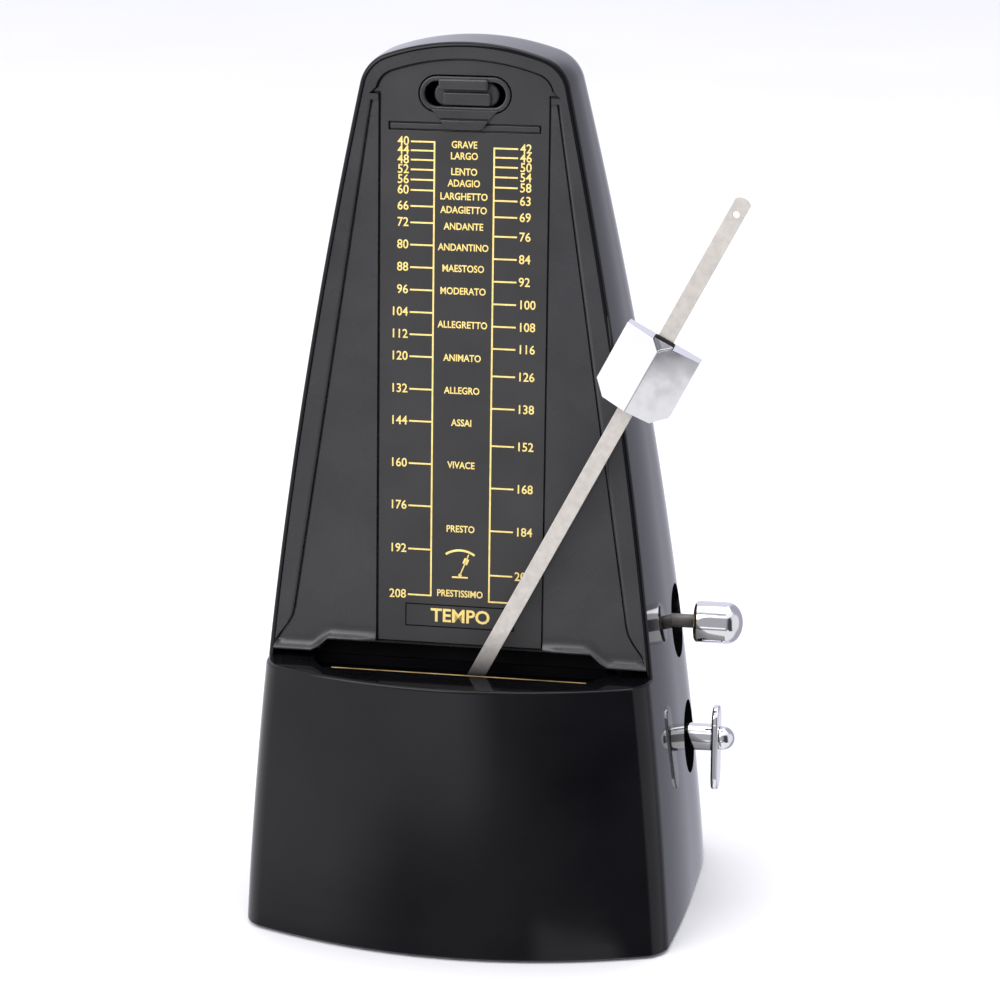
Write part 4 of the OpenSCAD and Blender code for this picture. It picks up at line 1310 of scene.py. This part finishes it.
# The clip end is dark partly as painted shade in the weight's notch.
piece(make_clip_end(), "weight", "dark_steel", slot="spring_steel")
piece(make_knob(), "selector", "chrome", "selector_knob")
piece(make_sleeve(), "winding", "chrome", "key_sleeve")
piece(make_cap(), "winding", "chrome", "key_cap")
piece(make_key_wing(), "winding", "chrome", "key_wing")

# ---- Floor, light and camera ----

ground = bmesh.new()
bmesh.ops.create_grid(ground, x_segments=1, y_segments=1, size=3.0)
floor_mesh = bpy.data.meshes.new("floor")
ground.to_mesh(floor_mesh)
ground.free()
floor = link("floor", floor_mesh)
floor.data.materials.append(floor_look())

world = bpy.data.worlds.new("studio")
bpy.context.scene.world = world
world.use_nodes = True
background = world.node_tree.nodes["Background"]
background.inputs["Color"].default_value = (0.92, 0.92, 1.0, 1)
background.inputs["Strength"].default_value = 1.12


def soft_light(name, place, target, size, watts):
    light = bpy.data.lights.new(name, "AREA")
    light.shape = "RECTANGLE"
    light.size, light.size_y = size
    light.energy = watts
    obj = bpy.data.objects.new(name, light)
    bpy.context.scene.collection.objects.link(obj)
    obj.location = place
    obj.rotation_euler = (Vector(target) - Vector(place)).to_track_quat("-Z", "Y").to_euler()


soft_light("key_light", (-0.3, -0.5, 0.55), (0, 0, 0.2), (0.5, 0.5), 2.6)
soft_light("top_light", (0.1, 0.1, 1.3), (0, 0, 0.1), (0.9, 0.9), 6)

# What the dome shows from its inside, each colour laid over the ones before where the
# direction lies within its limits (axis, start, full).
DOME_ZONES = [
    ((0.84, 0.84, 0.97), []),
    ((0.44, 0.44, 0.52), [("X", 0.06, 0.34), ("Y", 0.0, 0.3)]),
    ((0.46, 0.46, 0.49), [("Y", -0.3, -0.6)]),
    ((1.5, 1.5, 1.55), [("Y", -0.6, -0.8), ("X", 0.1, -0.14), ("Z", -0.18, -0.22)]),
    ((0.36, 0.36, 0.39), [("Y", -0.2, -0.5), ("Z", -0.26, -0.36)]),
    ((0.06, 0.06, 0.08), [("Y", -0.3, -0.6), ("X", 0.0, 0.5)]),
    ((0.9, 0.9, 0.93), [("X", 0.8, 0.92)]),
    ((1.3, 1.3, 1.33), [("X", -0.3, -0.64), ("Z", -0.45, -0.3)]),
    ((1.2, 1.2, 1.23), [("Z", 0.62, 0.72), ("Y", 0.3, -0.1)]),
    ((0.98, 0.98, 1.0), [("Z", -0.43, -0.5), ("Y", 0.2, -0.1)]),
    (
        (0.98, 0.98, 1.0),
        [("Z", -0.35, -0.364), ("Y", -0.6, -0.7), ("X", 0.14, 0.24), ("X", 0.52, 0.44)],
    ),
]
DOME_R = 2.6
DOME_Z = 0.1


def dome_material():
    mat = bpy.data.materials.new("reflection_dome")
    mat.use_nodes = True
    tree = mat.node_tree
    tree.nodes.clear()

    def node(kind, **inputs):
        n = tree.nodes.new(kind)
        for key, value in inputs.items():
            n.inputs[key.replace("_", " ")].default_value = value
        return n

    def attach(source, target):
        tree.links.new(source, target)

    turn = node("ShaderNodeVectorMath")
    turn.operation = "NORMALIZE"
    attach(node("ShaderNodeTexCoord").outputs["Object"], turn.inputs[0])
    axes = node("ShaderNodeSeparateXYZ")
    attach(turn.outputs["Vector"], axes.inputs["Vector"])

    def rise(axis, start, end):
        n = node("ShaderNodeMapRange", From_Min=start, From_Max=end)
        n.interpolation_type = "SMOOTHSTEP"
        attach(axes.outputs[axis], n.inputs["Value"])
        return n.outputs["Result"]

    def product(a, b):
        n = node("ShaderNodeMath")
        n.operation = "MULTIPLY"
        attach(a, n.inputs[0])
        attach(b, n.inputs[1])
        return n.outputs[0]

    base = node("ShaderNodeRGB")
    base.outputs[0].default_value = (*DOME_ZONES[0][0], 1)
    colour = base.outputs[0]
    for value, limits in DOME_ZONES[1:]:
        share = rise(*limits[0])
        for limit in limits[1:]:
            share = product(share, rise(*limit))
        mix = node("ShaderNodeMix")
        mix.data_type = "RGBA"
        attach(share, mix.inputs["Factor"])
        attach(colour, mix.inputs[MIX_A])
        mix.inputs[MIX_B].default_value = (*value, 1)
        colour = mix.outputs[2]
    emission, output = node("ShaderNodeEmission"), node("ShaderNodeOutputMaterial")
    attach(colour, emission.inputs["Color"])
    attach(emission.outputs["Emission"], output.inputs["Surface"])
    return mat


def reflection_dome():
    """What the glossy surfaces mirror, like the panels and flags of a photo studio:
    softboxes at the left, overhead and below, and a dark room behind the camera. Only
    reflections see it."""
    bm = bmesh.new()
    bmesh.ops.create_uvsphere(bm, u_segments=64, v_segments=32, radius=DOME_R)
    mesh = bpy.data.meshes.new("reflection_dome")
    bm.to_mesh(mesh)
    bm.free()
    obj = link("reflection_dome", mesh)
    obj.location.z = DOME_Z
    mesh.materials.append(dome_material())
    for ray in ("camera", "diffuse", "transmission", "volume_scatter", "shadow"):
        setattr(obj, "visible_" + ray, False)


reflection_dome()
floor.visible_glossy = False

AZIMUTH = math.radians(11.13)
ELEVATION = math.radians(15.33)
DISTANCE = 0.801
TARGET = Vector((0, 0, 0.11))
LENS = 114.9
camera_data = bpy.data.cameras.new("camera")
camera_data.lens = LENS
camera_data.sensor_width = 36
camera_data.shift_x = 0.0184
camera_data.shift_y = -0.0248
camera_data.clip_start = 0.01
camera = bpy.data.objects.new("camera", camera_data)
bpy.context.scene.collection.objects.link(camera)
away = Vector(
    (
        math.sin(AZIMUTH) * math.cos(ELEVATION),
        -math.cos(AZIMUTH) * math.cos(ELEVATION),
        math.sin(ELEVATION),
    )
)
camera.location = TARGET + away * DISTANCE
camera.rotation_euler = (-away).to_track_quat("-Z", "Y").to_euler()
bpy.context.scene.camera = camera
bpy.context.scene.view_settings.view_transform = "Standard"
